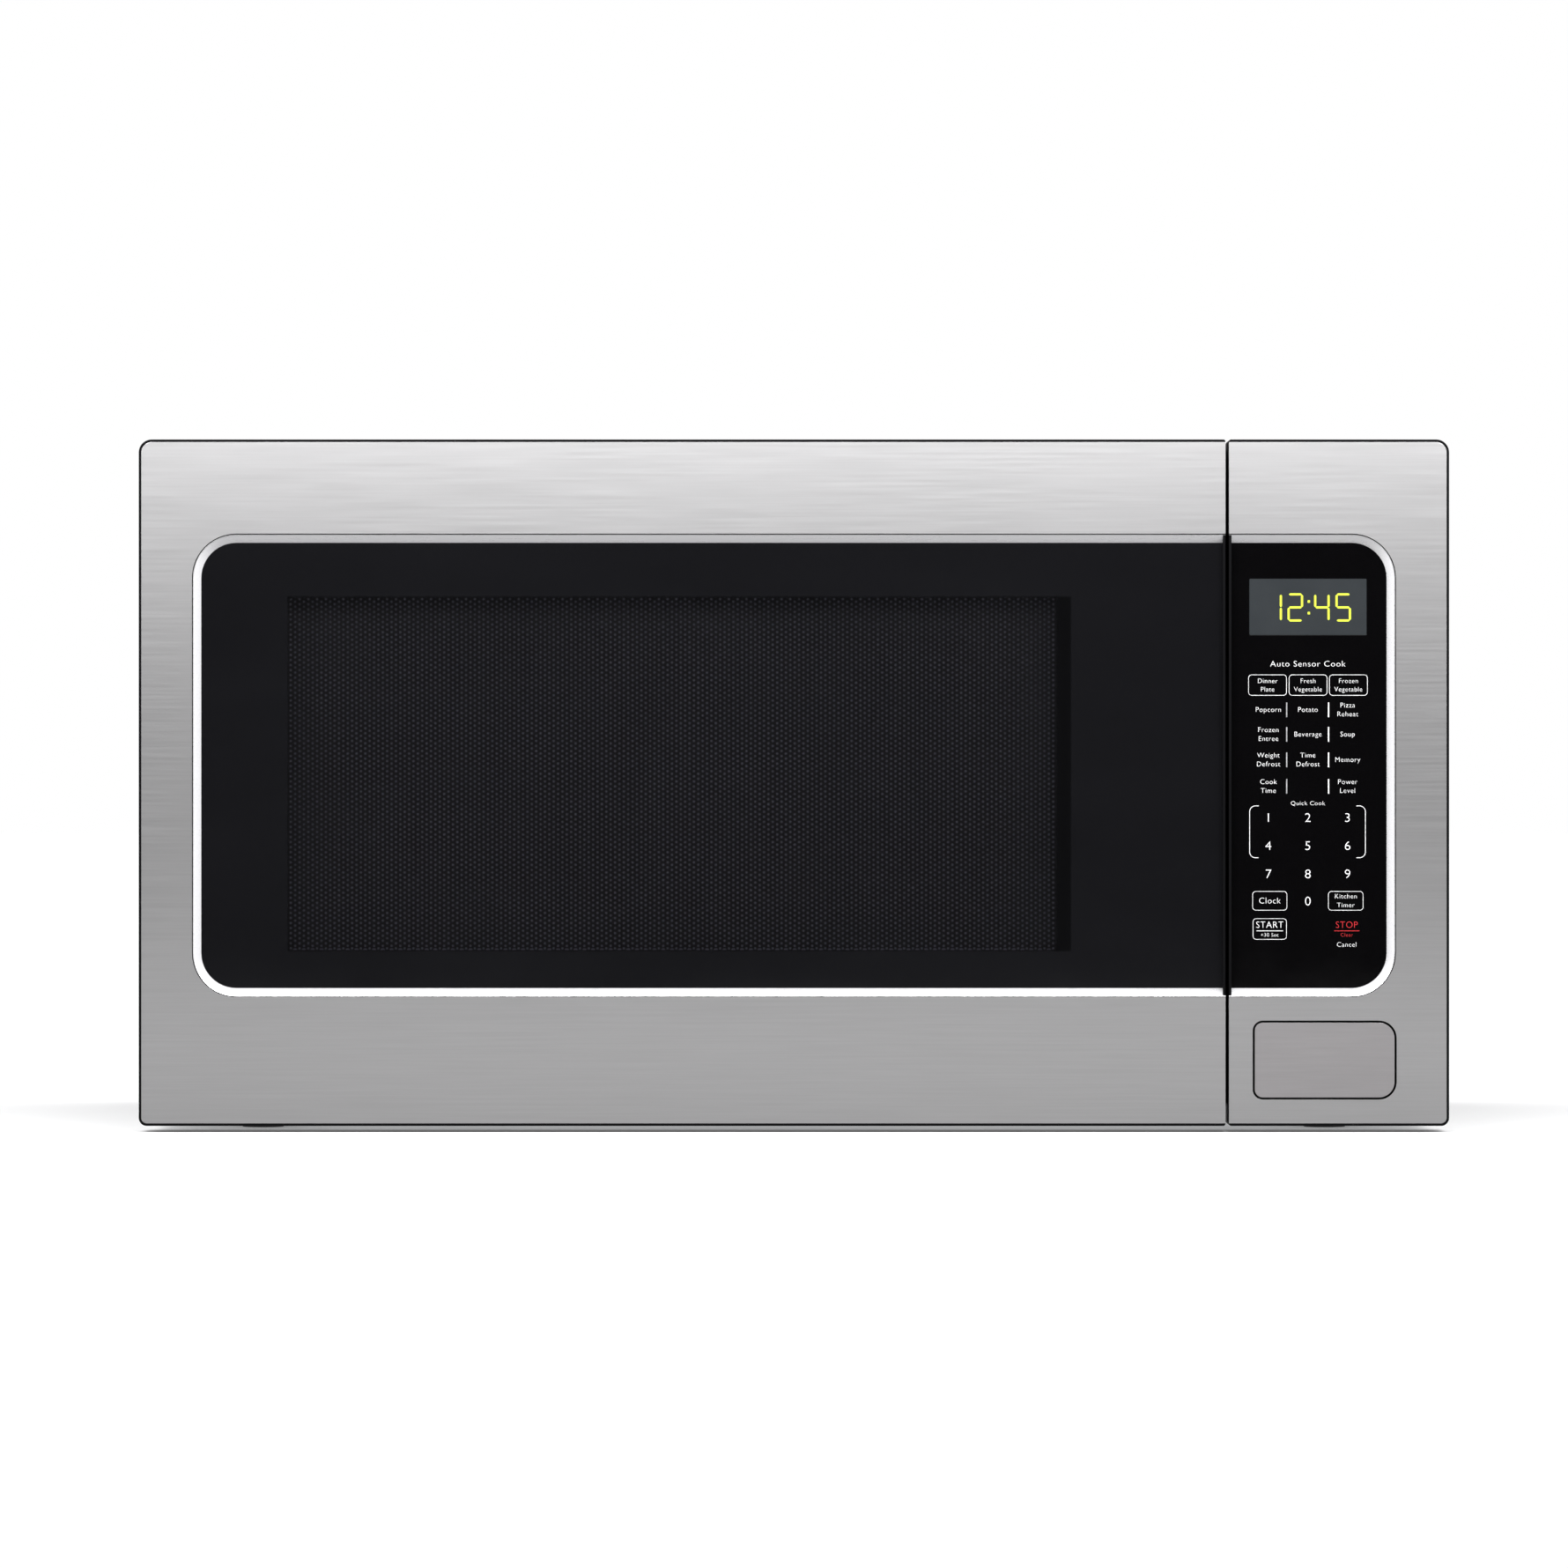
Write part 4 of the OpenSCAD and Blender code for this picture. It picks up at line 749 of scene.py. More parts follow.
class Shape:
    """A mesh being made, which ends as one piece of the oven."""

    def __init__(self, name: str) -> None:
        """Starts an empty mesh for the piece of that name."""
        self.name = name
        self.bm = bmesh.new()

    @classmethod
    def copy_of(cls, node: str, ending: str) -> "Shape":
        """Starts a shape as a merged copy of a CAD node.

        Args:
            node: the CAD node.
            ending: what the piece's name adds to the node's.

        Returns:
            The shape.
        """
        shape = cls(f"{node}_{ending}")
        shape.bm.from_mesh(frame["nodes"][node].data)
        bmesh.ops.remove_doubles(shape.bm, verts=shape.bm.verts[:], dist=MERGED)
        return shape

    def sheet(self, outline: Outline, holes: Iterable[Outline], y: Span,
              cuts: Iterable[tuple[float, int]] = (), edge: float = 0.0) -> "Shape":
        """Adds a flat sheet with holes through it.

        Args:
            outline: its outer edge.
            holes: the outlines of its holes.
            y: its front and its back.
            cuts: X places where it ends, with -1 to drop what is left of it, or 1 the right.
            edge: width of the rounded front edges.

        Returns:
            The shape, with the sheet added.
        """
        flat = bmesh.new()
        for loop in (outline, *holes):
            loop.draw(flat, y[0])
        bmesh.ops.delete(flat, geom=flat.faces[:], context="FACES_ONLY")
        bmesh.ops.triangle_fill(flat, use_beauty=True, use_dissolve=False, edges=flat.edges[:])
        for place, side in cuts:
            self.cut(flat, place, side)
        self.thicken(flat, y[1] - y[0])
        if edge:
            self.round_edges(flat, edge, pick=lambda e: max(v.co.y for v in e.verts) < y[0] + MERGED)
        return self.join(flat)

    @staticmethod
    def thicken(flat: bmesh.types.BMesh, depth: float) -> None:
        """Gives a flat mesh its thickness.

        Args:
            flat: the mesh, which becomes a closed shell.
            depth: how far back it goes.
        """
        made = bmesh.ops.extrude_face_region(flat, geom=flat.faces[:])["geom"]
        bmesh.ops.translate(flat, vec=(0, depth, 0),
                            verts=[v for v in made if isinstance(v, bmesh.types.BMVert)])
        bmesh.ops.recalc_face_normals(flat, faces=flat.faces[:])

    @staticmethod
    def cut(bm: bmesh.types.BMesh, place: float, side: int) -> None:
        """Cuts a mesh at an X place and drops the part on one side.

        Args:
            bm: the mesh.
            place: the cut's X.
            side: -1 to drop what is left of it, 1 to drop what is right of it.
        """
        bmesh.ops.bisect_plane(bm, geom=bm.verts[:] + bm.edges[:] + bm.faces[:], dist=1e-7,
                               plane_co=(place, 0, 0), plane_no=(side, 0, 0),
                               clear_outer=True, clear_inner=False)

    @staticmethod
    def round_edges(bm: bmesh.types.BMesh, width: float, sharp: float = 50.0,
                    pick: Callable[[bmesh.types.BMEdge], bool] = lambda edge: True) -> None:
        """Bevels the sharp edges of a mesh.

        Args:
            bm: the mesh.
            width: the bevel's width.
            sharp: the least angle between two faces, in degrees, that counts as sharp.
            pick: a test that an edge also has to pass.
        """
        edges = [e for e in bm.edges if len(e.link_faces) == 2
                 and e.calc_face_angle(0.0) > math.radians(sharp) and pick(e)]
        bmesh.ops.bevel(bm, geom=edges, offset=width, offset_type="OFFSET", affect="EDGES",
                        segments=3, profile=0.5, material=-1, clamp_overlap=True)

    def join(self, other: bmesh.types.BMesh) -> "Shape":
        """Adds another mesh to this one, and frees it.

        Args:
            other: the mesh to add.

        Returns:
            This shape.
        """
        made = bpy.data.meshes.new("part")
        other.to_mesh(made)
        other.free()
        self.bm.from_mesh(made)
        bpy.data.meshes.remove(made)
        return self

    def done(self, body: str | None, finish: Finish, slot: str, replaces: Sequence[str] = (),
             crease: float = 50.0, even: bool = True) -> bpy.types.Object:
        """Makes the piece and hangs it on its body.

        Args:
            body: the CAD body that it rides on, or None for a piece that spans two.
            finish: its finish.
            slot: the record's material slot for it; not used.
            replaces: the CAD nodes that it stands for.
            crease: the angle in degrees above which an edge stays sharp.
            even: whether large flat faces keep their own shading.

        Returns:
            The piece's object.
        """
        for face in self.bm.faces:
            face.smooth = True
        for edge in self.bm.edges:
            edge.smooth = edge.calc_face_angle(math.pi) < math.radians(crease)
        data = bpy.data.meshes.new(self.name)
        self.bm.to_mesh(data)
        self.bm.free()
        data.materials.append(finish.material())
        piece = put(self.name, data)
        if body:
            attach(piece, body)
        if replaces:
            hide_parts(*replaces)
        if even:
            even_shading(piece)
        log.info("%s: %d faces on %s", self.name, len(data.polygons), body or "two bodies")
        return piece


def put(name: str, data: bpy.types.ID) -> bpy.types.Object:
    """Puts a new object into the scene.

    Args:
        name: its name.
        data: its mesh, curve, light or camera.

    Returns:
        The object.
    """
    item = bpy.data.objects.new(name, data)
    bpy.context.scene.collection.objects.link(item)
    return item


def even_shading(piece: bpy.types.Object) -> None:
    """Lets a piece's large flat faces set the shading of the narrow ones beside them."""
    even = piece.modifiers.new("even_shading", "WEIGHTED_NORMAL")
    even.mode, even.weight, even.keep_sharp = "FACE_AREA", 100, True


def span(node: str, axis: int) -> Span:
    """Returns a CAD node's lowest and highest place along an axis."""
    low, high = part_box(node)
    return low[axis], high[axis]


def slot_of(node: str) -> str:
    """Returns the record's material slot of a CAD node."""
    return next(p["material_slot"] for p in frame["record"]["subparts"] if p["node"] == node)


@dataclass
class Softened:
    """A CAD node's own shape, merged and given rounded edges."""

    node: str
    body: str
    width: float
    set_back: float = 0.0
    segments: int = 2
    flat: float = 0.5
    crease: float = 35.0
    sharp: float = 50.0

    def build(self) -> None:
        """Copies the node's mesh, sets its front face back, and bevels its sharp edges."""
        shape = Shape.copy_of(self.node, "soft")
        bmesh.ops.dissolve_limit(shape.bm, angle_limit=math.radians(self.flat),
                                 use_dissolve_boundaries=False,
                                 verts=shape.bm.verts[:], edges=shape.bm.edges[:])
        front = span(self.node, 1)[0]
        bmesh.ops.translate(shape.bm, vec=(0, self.set_back, 0),
                            verts=[v for v in shape.bm.verts if v.co.y < front + 0.01 * MM])
        slot = slot_of(self.node)
        piece = shape.done(self.body, SLOT_FINISHES[slot], slot, [self.node], self.crease, False)
        bevel = piece.modifiers.new("soft_edges", "BEVEL")
        bevel.width, bevel.segments, bevel.limit_method = self.width, self.segments, "ANGLE"
        bevel.angle_limit = math.radians(self.sharp)
        bevel.use_clamp_overlap = True
        even_shading(piece)


# ---------------------------------------------------------------- fascia

@dataclass
class Fascia:
    """The sizes that the door and the control column share."""

    edge: float = 1.2 * MM
    gap_edge: float = 0.02 * MM
    skin_t: float = 0.8 * MM
    roundness: float = 0.2 * MM
    frame_edge: float = 0.3 * MM
    frame_back: float = 0.15 * MM
    groove: float = 0.35 * MM
    inner_r: float = 1.0 * MM
    bottom_r: float = 3.7 * MM
    top_r: float = 6.0 * MM
    glass_r: float = 16.3 * MM
    rim: float = 3.8 * MM
    rim_t: float = 0.35 * MM
    rim_back: float = 0.6 * MM
    rim_steps: tuple[Span, ...] = ((0.1, 0.5), (0.3, -0.1), (0.5, -0.38), (0.7, -0.6),
                                   (0.8, -0.7), (0.8, -0.72), (0.6, -0.6))
    door_x: Span = field(default_factory=lambda: span("door_frame", 0))
    column_x: Span = field(default_factory=lambda: span("panel_frame", 0))
    z: Span = field(default_factory=lambda: span("door_frame", 2))
    glass_z: Span = field(default_factory=lambda: span("door_glass", 2))
    glass_y: Span = field(default_factory=lambda: span("door_glass", 1))
    front: float = field(default_factory=lambda: span("door_frame", 1)[0])

    def opening(self, grow: float = 0.0) -> Outline:
        """Returns the dark opening's outline, across door and column.

        Args:
            grow: how far outside the opening it runs.

        Returns:
            The outline.
        """
        left, right = span("door_glass", 0)[0] + self.rim, span("keypad_overlay", 0)[1] - self.rim
        return Outline.even((left, right), (self.glass_z[0] + self.rim, self.glass_z[1] - self.rim),
                            self.glass_r).grown(grow)

    def door(self) -> Outline:
        """Returns the door's steel outline, inside its black edge."""
        return self.steel((self.door_x[0] + self.edge, self.door_x[1] - self.gap_edge),
                          (self.bottom_r, self.inner_r, self.inner_r, self.top_r))

    def column(self) -> Outline:
        """Returns the column's steel outline, inside its black edge."""
        return self.steel((self.column_x[0] + self.gap_edge, self.column_x[1] - self.edge),
                          (self.inner_r, self.bottom_r, self.top_r, self.inner_r))

    def steel(self, x: Span, radii: tuple[float, float, float, float]) -> Outline:
        """Returns a steel face's outline.

        Args:
            x: its span along X.
            radii: the radii of the black edge round it.

        Returns:
            The outline.
        """
        return Outline(x, (self.z[0] + self.edge, self.z[1] - self.edge),
                       tuple(max(r - self.edge, 0.5 * MM) for r in radii))

    def skin(self, name: str, outline: Outline, cut: tuple[float, int], body: str,
             node: str, holes: Sequence[Outline] = ()) -> None:
        """Builds one side's steel face.

        Args:
            name: the piece's name.
            outline: the steel's outer edge.
            cut: where the rim is cut, and which side goes.
            body: the CAD body.
            node: the CAD node that it stands for.
            holes: more holes, such as the button's.
        """
        window = self.opening(self.rim + self.groove)
        far = window.grown(20 * MM).x
        ends = (outline.x[0], far[1]) if cut[1] > 0 else (far[0], outline.x[1])
        shape = Shape(name)
        shape.sheet(Outline(ends, outline.z, outline.radii), [window, *holes],
                    (self.front, self.front + self.skin_t), [cut], self.roundness)
        shape.done(body, STEEL, "stainless", [node])

    def roll(self, name: str, cut: tuple[float, int], body: str) -> None:
        """Builds one side's rolled rim, from the steel down to the glass.

        Args:
            name: the piece's name.
            cut: where it is cut, and which side goes.
            body: the CAD body.
        """
        shape = Shape(name)
        face = self.opening(self.rim).draw(shape.bm, self.front + self.rim_back)
        bmesh.ops.recalc_face_normals(shape.bm, faces=[face])
        if face.normal.y > 0:
            bmesh.ops.reverse_faces(shape.bm, faces=[face])
        for inward, outward in self.rim_steps:
            bmesh.ops.inset_region(shape.bm, faces=[face], thickness=inward * MM,
                                   depth=outward * MM, use_even_offset=True, use_boundary=True)
        bmesh.ops.delete(shape.bm, geom=[face], context="FACES")
        Shape.cut(shape.bm, *cut)
        bmesh.ops.recalc_face_normals(shape.bm, faces=shape.bm.faces[:])
        if sum(f.normal.y * f.calc_area() for f in shape.bm.faces) > 0:
            bmesh.ops.reverse_faces(shape.bm, faces=shape.bm.faces[:])
        # painted highlight: the rim takes the lightened copy of the steel
        piece = shape.done(body, LIGHTENED_RIM_STEEL, "stainless", crease=60.0, even=False)
        wall = piece.modifiers.new("wall", "SOLIDIFY")
        wall.thickness, wall.offset, wall.use_even_offset = self.rim_t, -1.0, True

    def build(self) -> None:
        """Builds both steel faces, both rims and the black frames."""
        door_cut = (self.door().x[1], 1)
        column_cut = (self.column().x[0], -1)
        button = ReleaseButton().opening()
        self.skin("door_fascia", self.door(), door_cut, "door", "door_skin")
        self.skin("column_fascia", self.column(), column_cut, "cabinet", "panel_skin", [button])
        self.roll("door_rim", door_cut, "door")
        self.roll("column_rim", column_cut, "cabinet")
        for node, body in (("door_frame", "door"), ("panel_frame", "cabinet")):
            Softened(node, body, self.frame_edge, self.frame_back).build()


@dataclass
class ReleaseButton:
    """The steel-faced button that opens the door."""

    gap: float = 1.0 * MM
    thick: float = 0.9 * MM
    cap_edge: float = 0.5 * MM
    body_edge: float = 0.3 * MM
    inner_r: float = 3.7 * MM
    outer_r: float = 7.2 * MM

    def opening(self) -> Outline:
        """Returns the outline of the button's opening."""
        radii = (self.inner_r, self.outer_r, self.outer_r, self.inner_r)
        return Outline(span("button_skin", 0), span("button_skin", 2), radii).grown(self.gap)

    def build(self) -> None:
        """Builds the pressed steel cap and softens the plastic body."""
        front = span("button_skin", 1)[0]
        shape = Shape("button_cap")
        shape.sheet(self.opening().grown(-self.gap), [], (front, front + self.thick),
                    edge=self.cap_edge)
        shape.done("button", BUTTON_STEEL, "stainless_button", ["button_skin"])
        Softened("release_button", "button", self.body_edge).build()


# ---------------------------------------------------------------- door window

@dataclass
class DoorWindow:
    """Dark glass and the perforated screen behind it; the clear inner sheet keeps its CAD shape."""

    fascia: Fascia
    pitch: float = SCREEN_PITCH
    hole: float = SCREEN_HOLE
    lap: float = 5.0 * MM
    glass_edge: float = 0.9 * MM
    near: float = 0.02 * MM

    def field_box(self) -> tuple[Span, Span]:
        """Returns the X and Z spans of the perforated field."""
        (x0, x1), (z0, z1) = span("door_screen", 0), span("door_screen", 2)
        return (x0 + self.lap, x1 - self.lap), (z0 + self.lap, z1 - self.lap)

    def build(self) -> None:
        """Builds the glass, the screen and its plain border."""
        x, z = self.field_box()
        self.glass(x, z)
        self.screen(x, z)

    def glass(self, x: Span, z: Span) -> None:
        """Builds the printed glass.

        Args:
            x: the clear field's span along X.
            z: its span along Z.
        """
        door = self.fascia.door()
        finish = PrintedGlass("printed_door_glass", DARK, 0.06, x, z, edge_x=door.x[1])
        shape = Shape("door_glass_pane")
        shape.sheet(self.fascia.opening(self.fascia.rim), [], self.fascia.glass_y,
                    [(door.x[1], 1)], self.glass_edge)
        shape.done("door", finish, "dark_glass", ["door_glass"])

    def screen(self, x: Span, z: Span) -> None:
        """Builds the perforated sheet from one six-sided cell, and the plain sheet round it.

        Args:
            x: the field's span along X.
            z: its span along Z.
        """
        step = self.pitch * math.sqrt(3) / 2
        columns, rows = round((x[1] - x[0]) / step / 2), round((z[1] - z[0]) / self.pitch)
        y = sum(span("door_screen", 1)) / 2
        shape = Shape("screen_field")
        turn = Matrix.Rotation(math.radians(90), 4, "X") @ Matrix.Rotation(math.radians(30), 4, "Z")
        for i, lift in ((0, 0.25), (1, 0.75)):
            cell = bmesh.new()
            at = Matrix.Translation((x[0] + step * (i + 0.5), y, z[0] + self.pitch * (lift + 0.25)))
            bmesh.ops.create_circle(cell, cap_ends=True, segments=6,
                                    radius=self.pitch / math.sqrt(3), matrix=at @ turn)
            middle = cell.faces[:][0]
            bmesh.ops.inset_region(cell, faces=[middle], thickness=self.pitch / 2 - self.hole,
                                   use_even_offset=True, use_boundary=True)
            bmesh.ops.delete(cell, geom=[middle], context="FACES")
            shape.join(cell)
        bmesh.ops.remove_doubles(shape.bm, verts=shape.bm.verts[:], dist=self.near)
        bmesh.ops.recalc_face_normals(shape.bm, faces=shape.bm.faces[:])
        piece = shape.done("door", SCREEN_BLACK, "screen_steel", ["door_screen"], even=False)
        for name, count, way in (("rows", rows, (0, 0, self.pitch)),
                                 ("columns", columns, (2 * step, 0, 0))):
            many = piece.modifiers.new(name, "ARRAY")
            many.count, many.use_relative_offset, many.use_constant_offset = count, False, True
            many.constant_offset_displace = way
            many.use_merge_vertices, many.merge_threshold = True, self.near
        border, shape = Outline.even(x, z, 0.6 * MM), Shape("screen_border")
        shape.sheet(border.grown(self.lap), [border.grown(-0.4 * MM)], (y - 0.25 * MM, y - 0.1 * MM))
        shape.done("door", SCREEN_BLACK, "screen_steel")


# ---------------------------------------------------------------- controls

class Weight(Enum):
    """The legend's ink."""

    BRIGHT = "bright"
    DIM = "dim"
    RED = "red"


@dataclass
class Keypad:
    """The glossy overlay with its printed legend."""

    fascia: Fascia
    columns: tuple[float, float, float] = (219.9 * MM, 238.2 * MM, 256.6 * MM)
    raise_ink: float = 0.03 * MM
    cap_share: float = 0.7
    letter_gap: float = 1.08
    letter_thin: float = 0.022
    divider: float = 0.28
    bracket_line: float = 0.28 * MM
    inks: dict[Weight, Shape] = field(default_factory=dict)

    def ink(self, weight: Weight) -> Shape:
        """Returns the shape that collects one ink's marks."""
        return self.inks.setdefault(weight, Shape(f"legend_{weight.value}"))

    def ink_y(self) -> Span:
        """Returns the front and the back of the ink, which lies on the overlay's face."""
        return self.fascia.glass_y[0] - self.raise_ink, self.fascia.glass_y[0]

    def text(self, words: str, x: float, z: float, height: float,
             weight: Weight = Weight.BRIGHT, width: float = 1.0) -> None:
        """Prints a line of text, centred.

        Args:
            words: the line.
            x: its centre along X.
            z: its centre along Z.
            height: the height of a capital letter.
            weight: its ink.
            width: how wide the letters are drawn, as a share of their own width.
        """
        curve = bpy.data.curves.new("line", "FONT")
        curve.body, curve.align_x, curve.align_y = words, "CENTER", "CENTER"
        curve.size, curve.resolution_u = height / self.cap_share, 3
        curve.extrude = self.raise_ink / 2
        curve.space_character, curve.offset = self.letter_gap, -self.letter_thin * height
        item = put("line", curve)
        bpy.context.view_layer.update()
        made = bpy.data.meshes.new_from_object(item.evaluated_get(
            bpy.context.evaluated_depsgraph_get()))
        bpy.data.objects.remove(item)
        made.transform(Matrix.Translation((x, sum(self.ink_y()) / 2, z))
                       @ Matrix.Rotation(math.radians(90), 4, "X")
                       @ Matrix.Diagonal((width, 1, 1, 1)))
        self.ink(weight).bm.from_mesh(made)
        bpy.data.meshes.remove(made)

    def box(self, x: Span, z: Span, weight: Weight = Weight.BRIGHT, line: float = 0.21 * MM,
            radius: float = 1.6 * MM) -> None:
        """Prints a rounded frame.

        Args:
            x: its span along X.
            z: its span along Z.
            weight: its ink.
            line: the line's width.
            radius: its corners' radius.
        """
        outer = Outline.even(x, z, radius)
        self.ink(weight).sheet(outer, [outer.grown(-line)], self.ink_y())

    def bar(self, x: Span, z: Span, weight: Weight = Weight.BRIGHT) -> None:
        """Prints a plain bar over an X and a Z span."""
        self.ink(weight).sheet(Outline.even(x, z, 0.05 * MM), [], self.ink_y())

    def build(self) -> None:
        """Builds the overlay, then prints every mark on it."""
        display = Outline.even(span("display_window", 0), span("display_window", 2), 0.5 * MM)
        column = self.fascia.column()
        Shape("keypad_face").sheet(
            self.fascia.opening(self.fascia.rim), [display.grown(0.1 * MM)], self.fascia.glass_y,
            [(column.x[0], -1)], 0.2 * MM
        ).done("cabinet", KEYPAD_BLACK, "keypad_gloss", ["keypad_overlay"])
        self.sensor_keys()
        self.number_keys()
        self.command_keys()
        finishes = {Weight.BRIGHT: WHITE_INK, Weight.DIM: GREY_INK, Weight.RED: RED_INK}
        for weight, shape in self.inks.items():
            shape.done("cabinet", finishes[weight], "keypad_gloss", even=False)

    def sensor_keys(self) -> None:
        """Prints the heading, the three framed keys and the four rows of words."""
        left, mid, right = self.columns
        self.text("Auto Sensor Cook", mid, 217 * MM, 2.7 * MM, width=1.1)
        for x, lines in zip((219.5 * MM, 238.3 * MM, 257.0 * MM),
                            (("Dinner", "Plate"), ("Fresh", "Vegetable"), ("Frozen", "Vegetable"))):
            self.box((x - 8.9 * MM, x + 8.9 * MM), (202.4 * MM, 212.1 * MM))
            for z, word in zip((209.1 * MM, 205.2 * MM), lines):
                self.text(word, x, z, 2.2 * MM, width=0.98)
        rows = ((195.8, ("Popcorn",), ("Potato",), ("Pizza", "Reheat")),
                (184.4, ("Frozen", "Entree"), ("Beverage",), ("Soup",)),
                (172.6, ("Weight", "Defrost"), ("Time", "Defrost"), ("Memory",)),
                (160.3, ("Cook", "Time"), (), ("Power", "Level")))
        for z, *words in rows:
            for x, lines in zip((left, mid, right), words):
                for i, word in enumerate(lines):
                    drop = (i - (len(lines) - 1) / 2) * 4.1
                    self.text(word, x, (z - drop) * MM, 2.3 * MM)
            for x, weight in ((228.4, Weight.DIM), (247.8, Weight.BRIGHT)):
                self.bar(((x - self.divider) * MM, (x + self.divider) * MM),
                         ((z - 3.4) * MM, (z + 3.4) * MM), weight)

    def number_keys(self) -> None:
        """Prints the numerals and the brackets beside the first two rows."""
        self.text("Quick Cook", self.columns[1], 152.4 * MM, 1.9 * MM, width=1.1)
        for z, numerals in ((145.6, "123"), (132.6, "456"), (119.5, "789"), (106.9, " 0 ")):
            for x, numeral in zip(self.columns, numerals):
                if numeral != " ":
                    self.text(numeral, x, z * MM, 4.2 * MM, width=1.06)
        bracket = Outline.even((211.1 * MM, 265.0 * MM), (127.1 * MM, 151.4 * MM), 2.8 * MM)
        for place, side in ((215.4, 1), (260.7, -1)):
            self.ink(Weight.BRIGHT).sheet(bracket, [bracket.grown(-self.bracket_line)],
                                          self.ink_y(), [(place * MM, side)])

    def command_keys(self) -> None:
        """Prints the clock, timer, start and stop keys."""
        for (x0, x1), (z0, z1) in (((212.5, 228.6), (102.8, 111.7)),
                                   ((247.6, 263.9), (102.8, 111.7)),
                                   ((212.7, 228.4), (89.3, 99.1))):
            self.box((x0 * MM, x1 * MM), (z0 * MM, z1 * MM))
        for words, x, z, height, weight, width in (
                ("Clock", 220.5, 107.2, 2.8, Weight.BRIGHT, 1.0),
                ("Kitchen", 255.8, 109.3, 2.2, Weight.BRIGHT, 1.0),
                ("Timer", 255.8, 105.2, 2.2, Weight.BRIGHT, 1.0),
                ("START", 220.5, 96.0, 3.1, Weight.BRIGHT, 0.94),
                ("+30 Sec", 220.5, 91.4, 1.7, Weight.BRIGHT, 1.0),
                ("STOP", 256.2, 96.0, 3.1, Weight.RED, 0.94),
                ("Clear", 256.2, 91.4, 1.7, Weight.RED, 1.0),
                ("Cancel", 256.2, 86.9, 2.2, Weight.BRIGHT, 1.0)):
            self.text(words, x * MM, z * MM, height * MM, weight, width)
        for (x0, x1), weight in (((214.4, 226.7), Weight.BRIGHT), ((250.4, 262.1), Weight.RED)):
            self.bar((x0 * MM, x1 * MM), (93.2 * MM, 93.5 * MM), weight)


@dataclass
class Display:
    """The grey display window with its lit digits."""

    stroke: float = 1.0 * MM
    height: float = 13.1 * MM
    width: float = 7.2 * MM
    base: float = 236.7 * MM
    thick: float = 0.05 * MM
    tip_gap: float = 0.12 * MM
    dot_x: Span = (238.1 * MM, 239.2 * MM)
    dot_half: float = 0.6
    segments: dict[str, str] = field(default_factory=lambda: {
        "1": "bc", "2": "abged", "4": "fgbc", "5": "afgcd"})

    def bar(self, shape: Shape, start: Vector, end: Vector, y: float) -> None:
        """Adds one pointed segment.

        Args:
            shape: the digits' shape.
            start: its first tip, in X and Z.
            end: its other tip.
            y: how far back it stands.
        """
        along = (end - start).normalized()
        side = Vector((-along.y, along.x)) * self.stroke / 2
        tip = along * self.stroke / 2
        gap = along * self.tip_gap
        a, b = start + gap, end - gap
        points = (a, a + tip - side, b - tip - side, b, b - tip + side, a + tip + side)
        flat = bmesh.new()
        flat.faces.new([flat.verts.new((p.x, y, p.y)) for p in points])
        Shape.thicken(flat, self.thick)
        shape.join(flat)

    def digit(self, shape: Shape, name: str, left: float, y: float) -> None:
        """Adds one seven-bar digit.

        Args:
            shape: the digits' shape.
            name: the digit.
            left: the X of its left bars.
            y: how far back it stands.
        """
        half, inset = self.height / 2, self.stroke / 2
        low, mid, top = self.base + inset, self.base + half, self.base + self.height - inset
        west, east = left + inset, left + self.width - inset
        ends = {"a": (west, top, east, top), "b": (east, mid, east, top), "c": (east, low, east, mid),
                "d": (west, low, east, low), "e": (west, low, west, mid), "f": (west, mid, west, top),
                "g": (west, mid, east, mid)}
        for key in self.segments[name]:
            x0, z0, x1, z1 = ends[key]
            self.bar(shape, Vector((x0, z0)), Vector((x1, z1)), y)

    def build(self) -> None:
        """Builds the window, then the four digits and the colon on its face."""
        x, y, z = (span("display_window", axis) for axis in range(3))
        pane = Shape("display_pane")
        pane.sheet(Outline.even(x, z, 0.4 * MM), [], y, edge=0.15 * MM)
        pane.done("cabinet", DISPLAY_GREY, "display_tint", ["display_window"])
        front = y[0] - self.thick
        shape = Shape("display_digits")
        for name, left in (("1", 219.0), ("2", 228.8), ("4", 241.1), ("5", 251.0)):
            self.digit(shape, name, left * MM, front)
        for z_dot in (240.6, 246.0):
            z_span = ((z_dot - self.dot_half) * MM, (z_dot + self.dot_half) * MM)
            shape.sheet(Outline.even(self.dot_x, z_span, 0.2 * MM), [], (front, front + self.thick))
        shape.done("cabinet", DIGIT_GLOW, "display_tint")


# ---------------------------------------------------------------- cavity

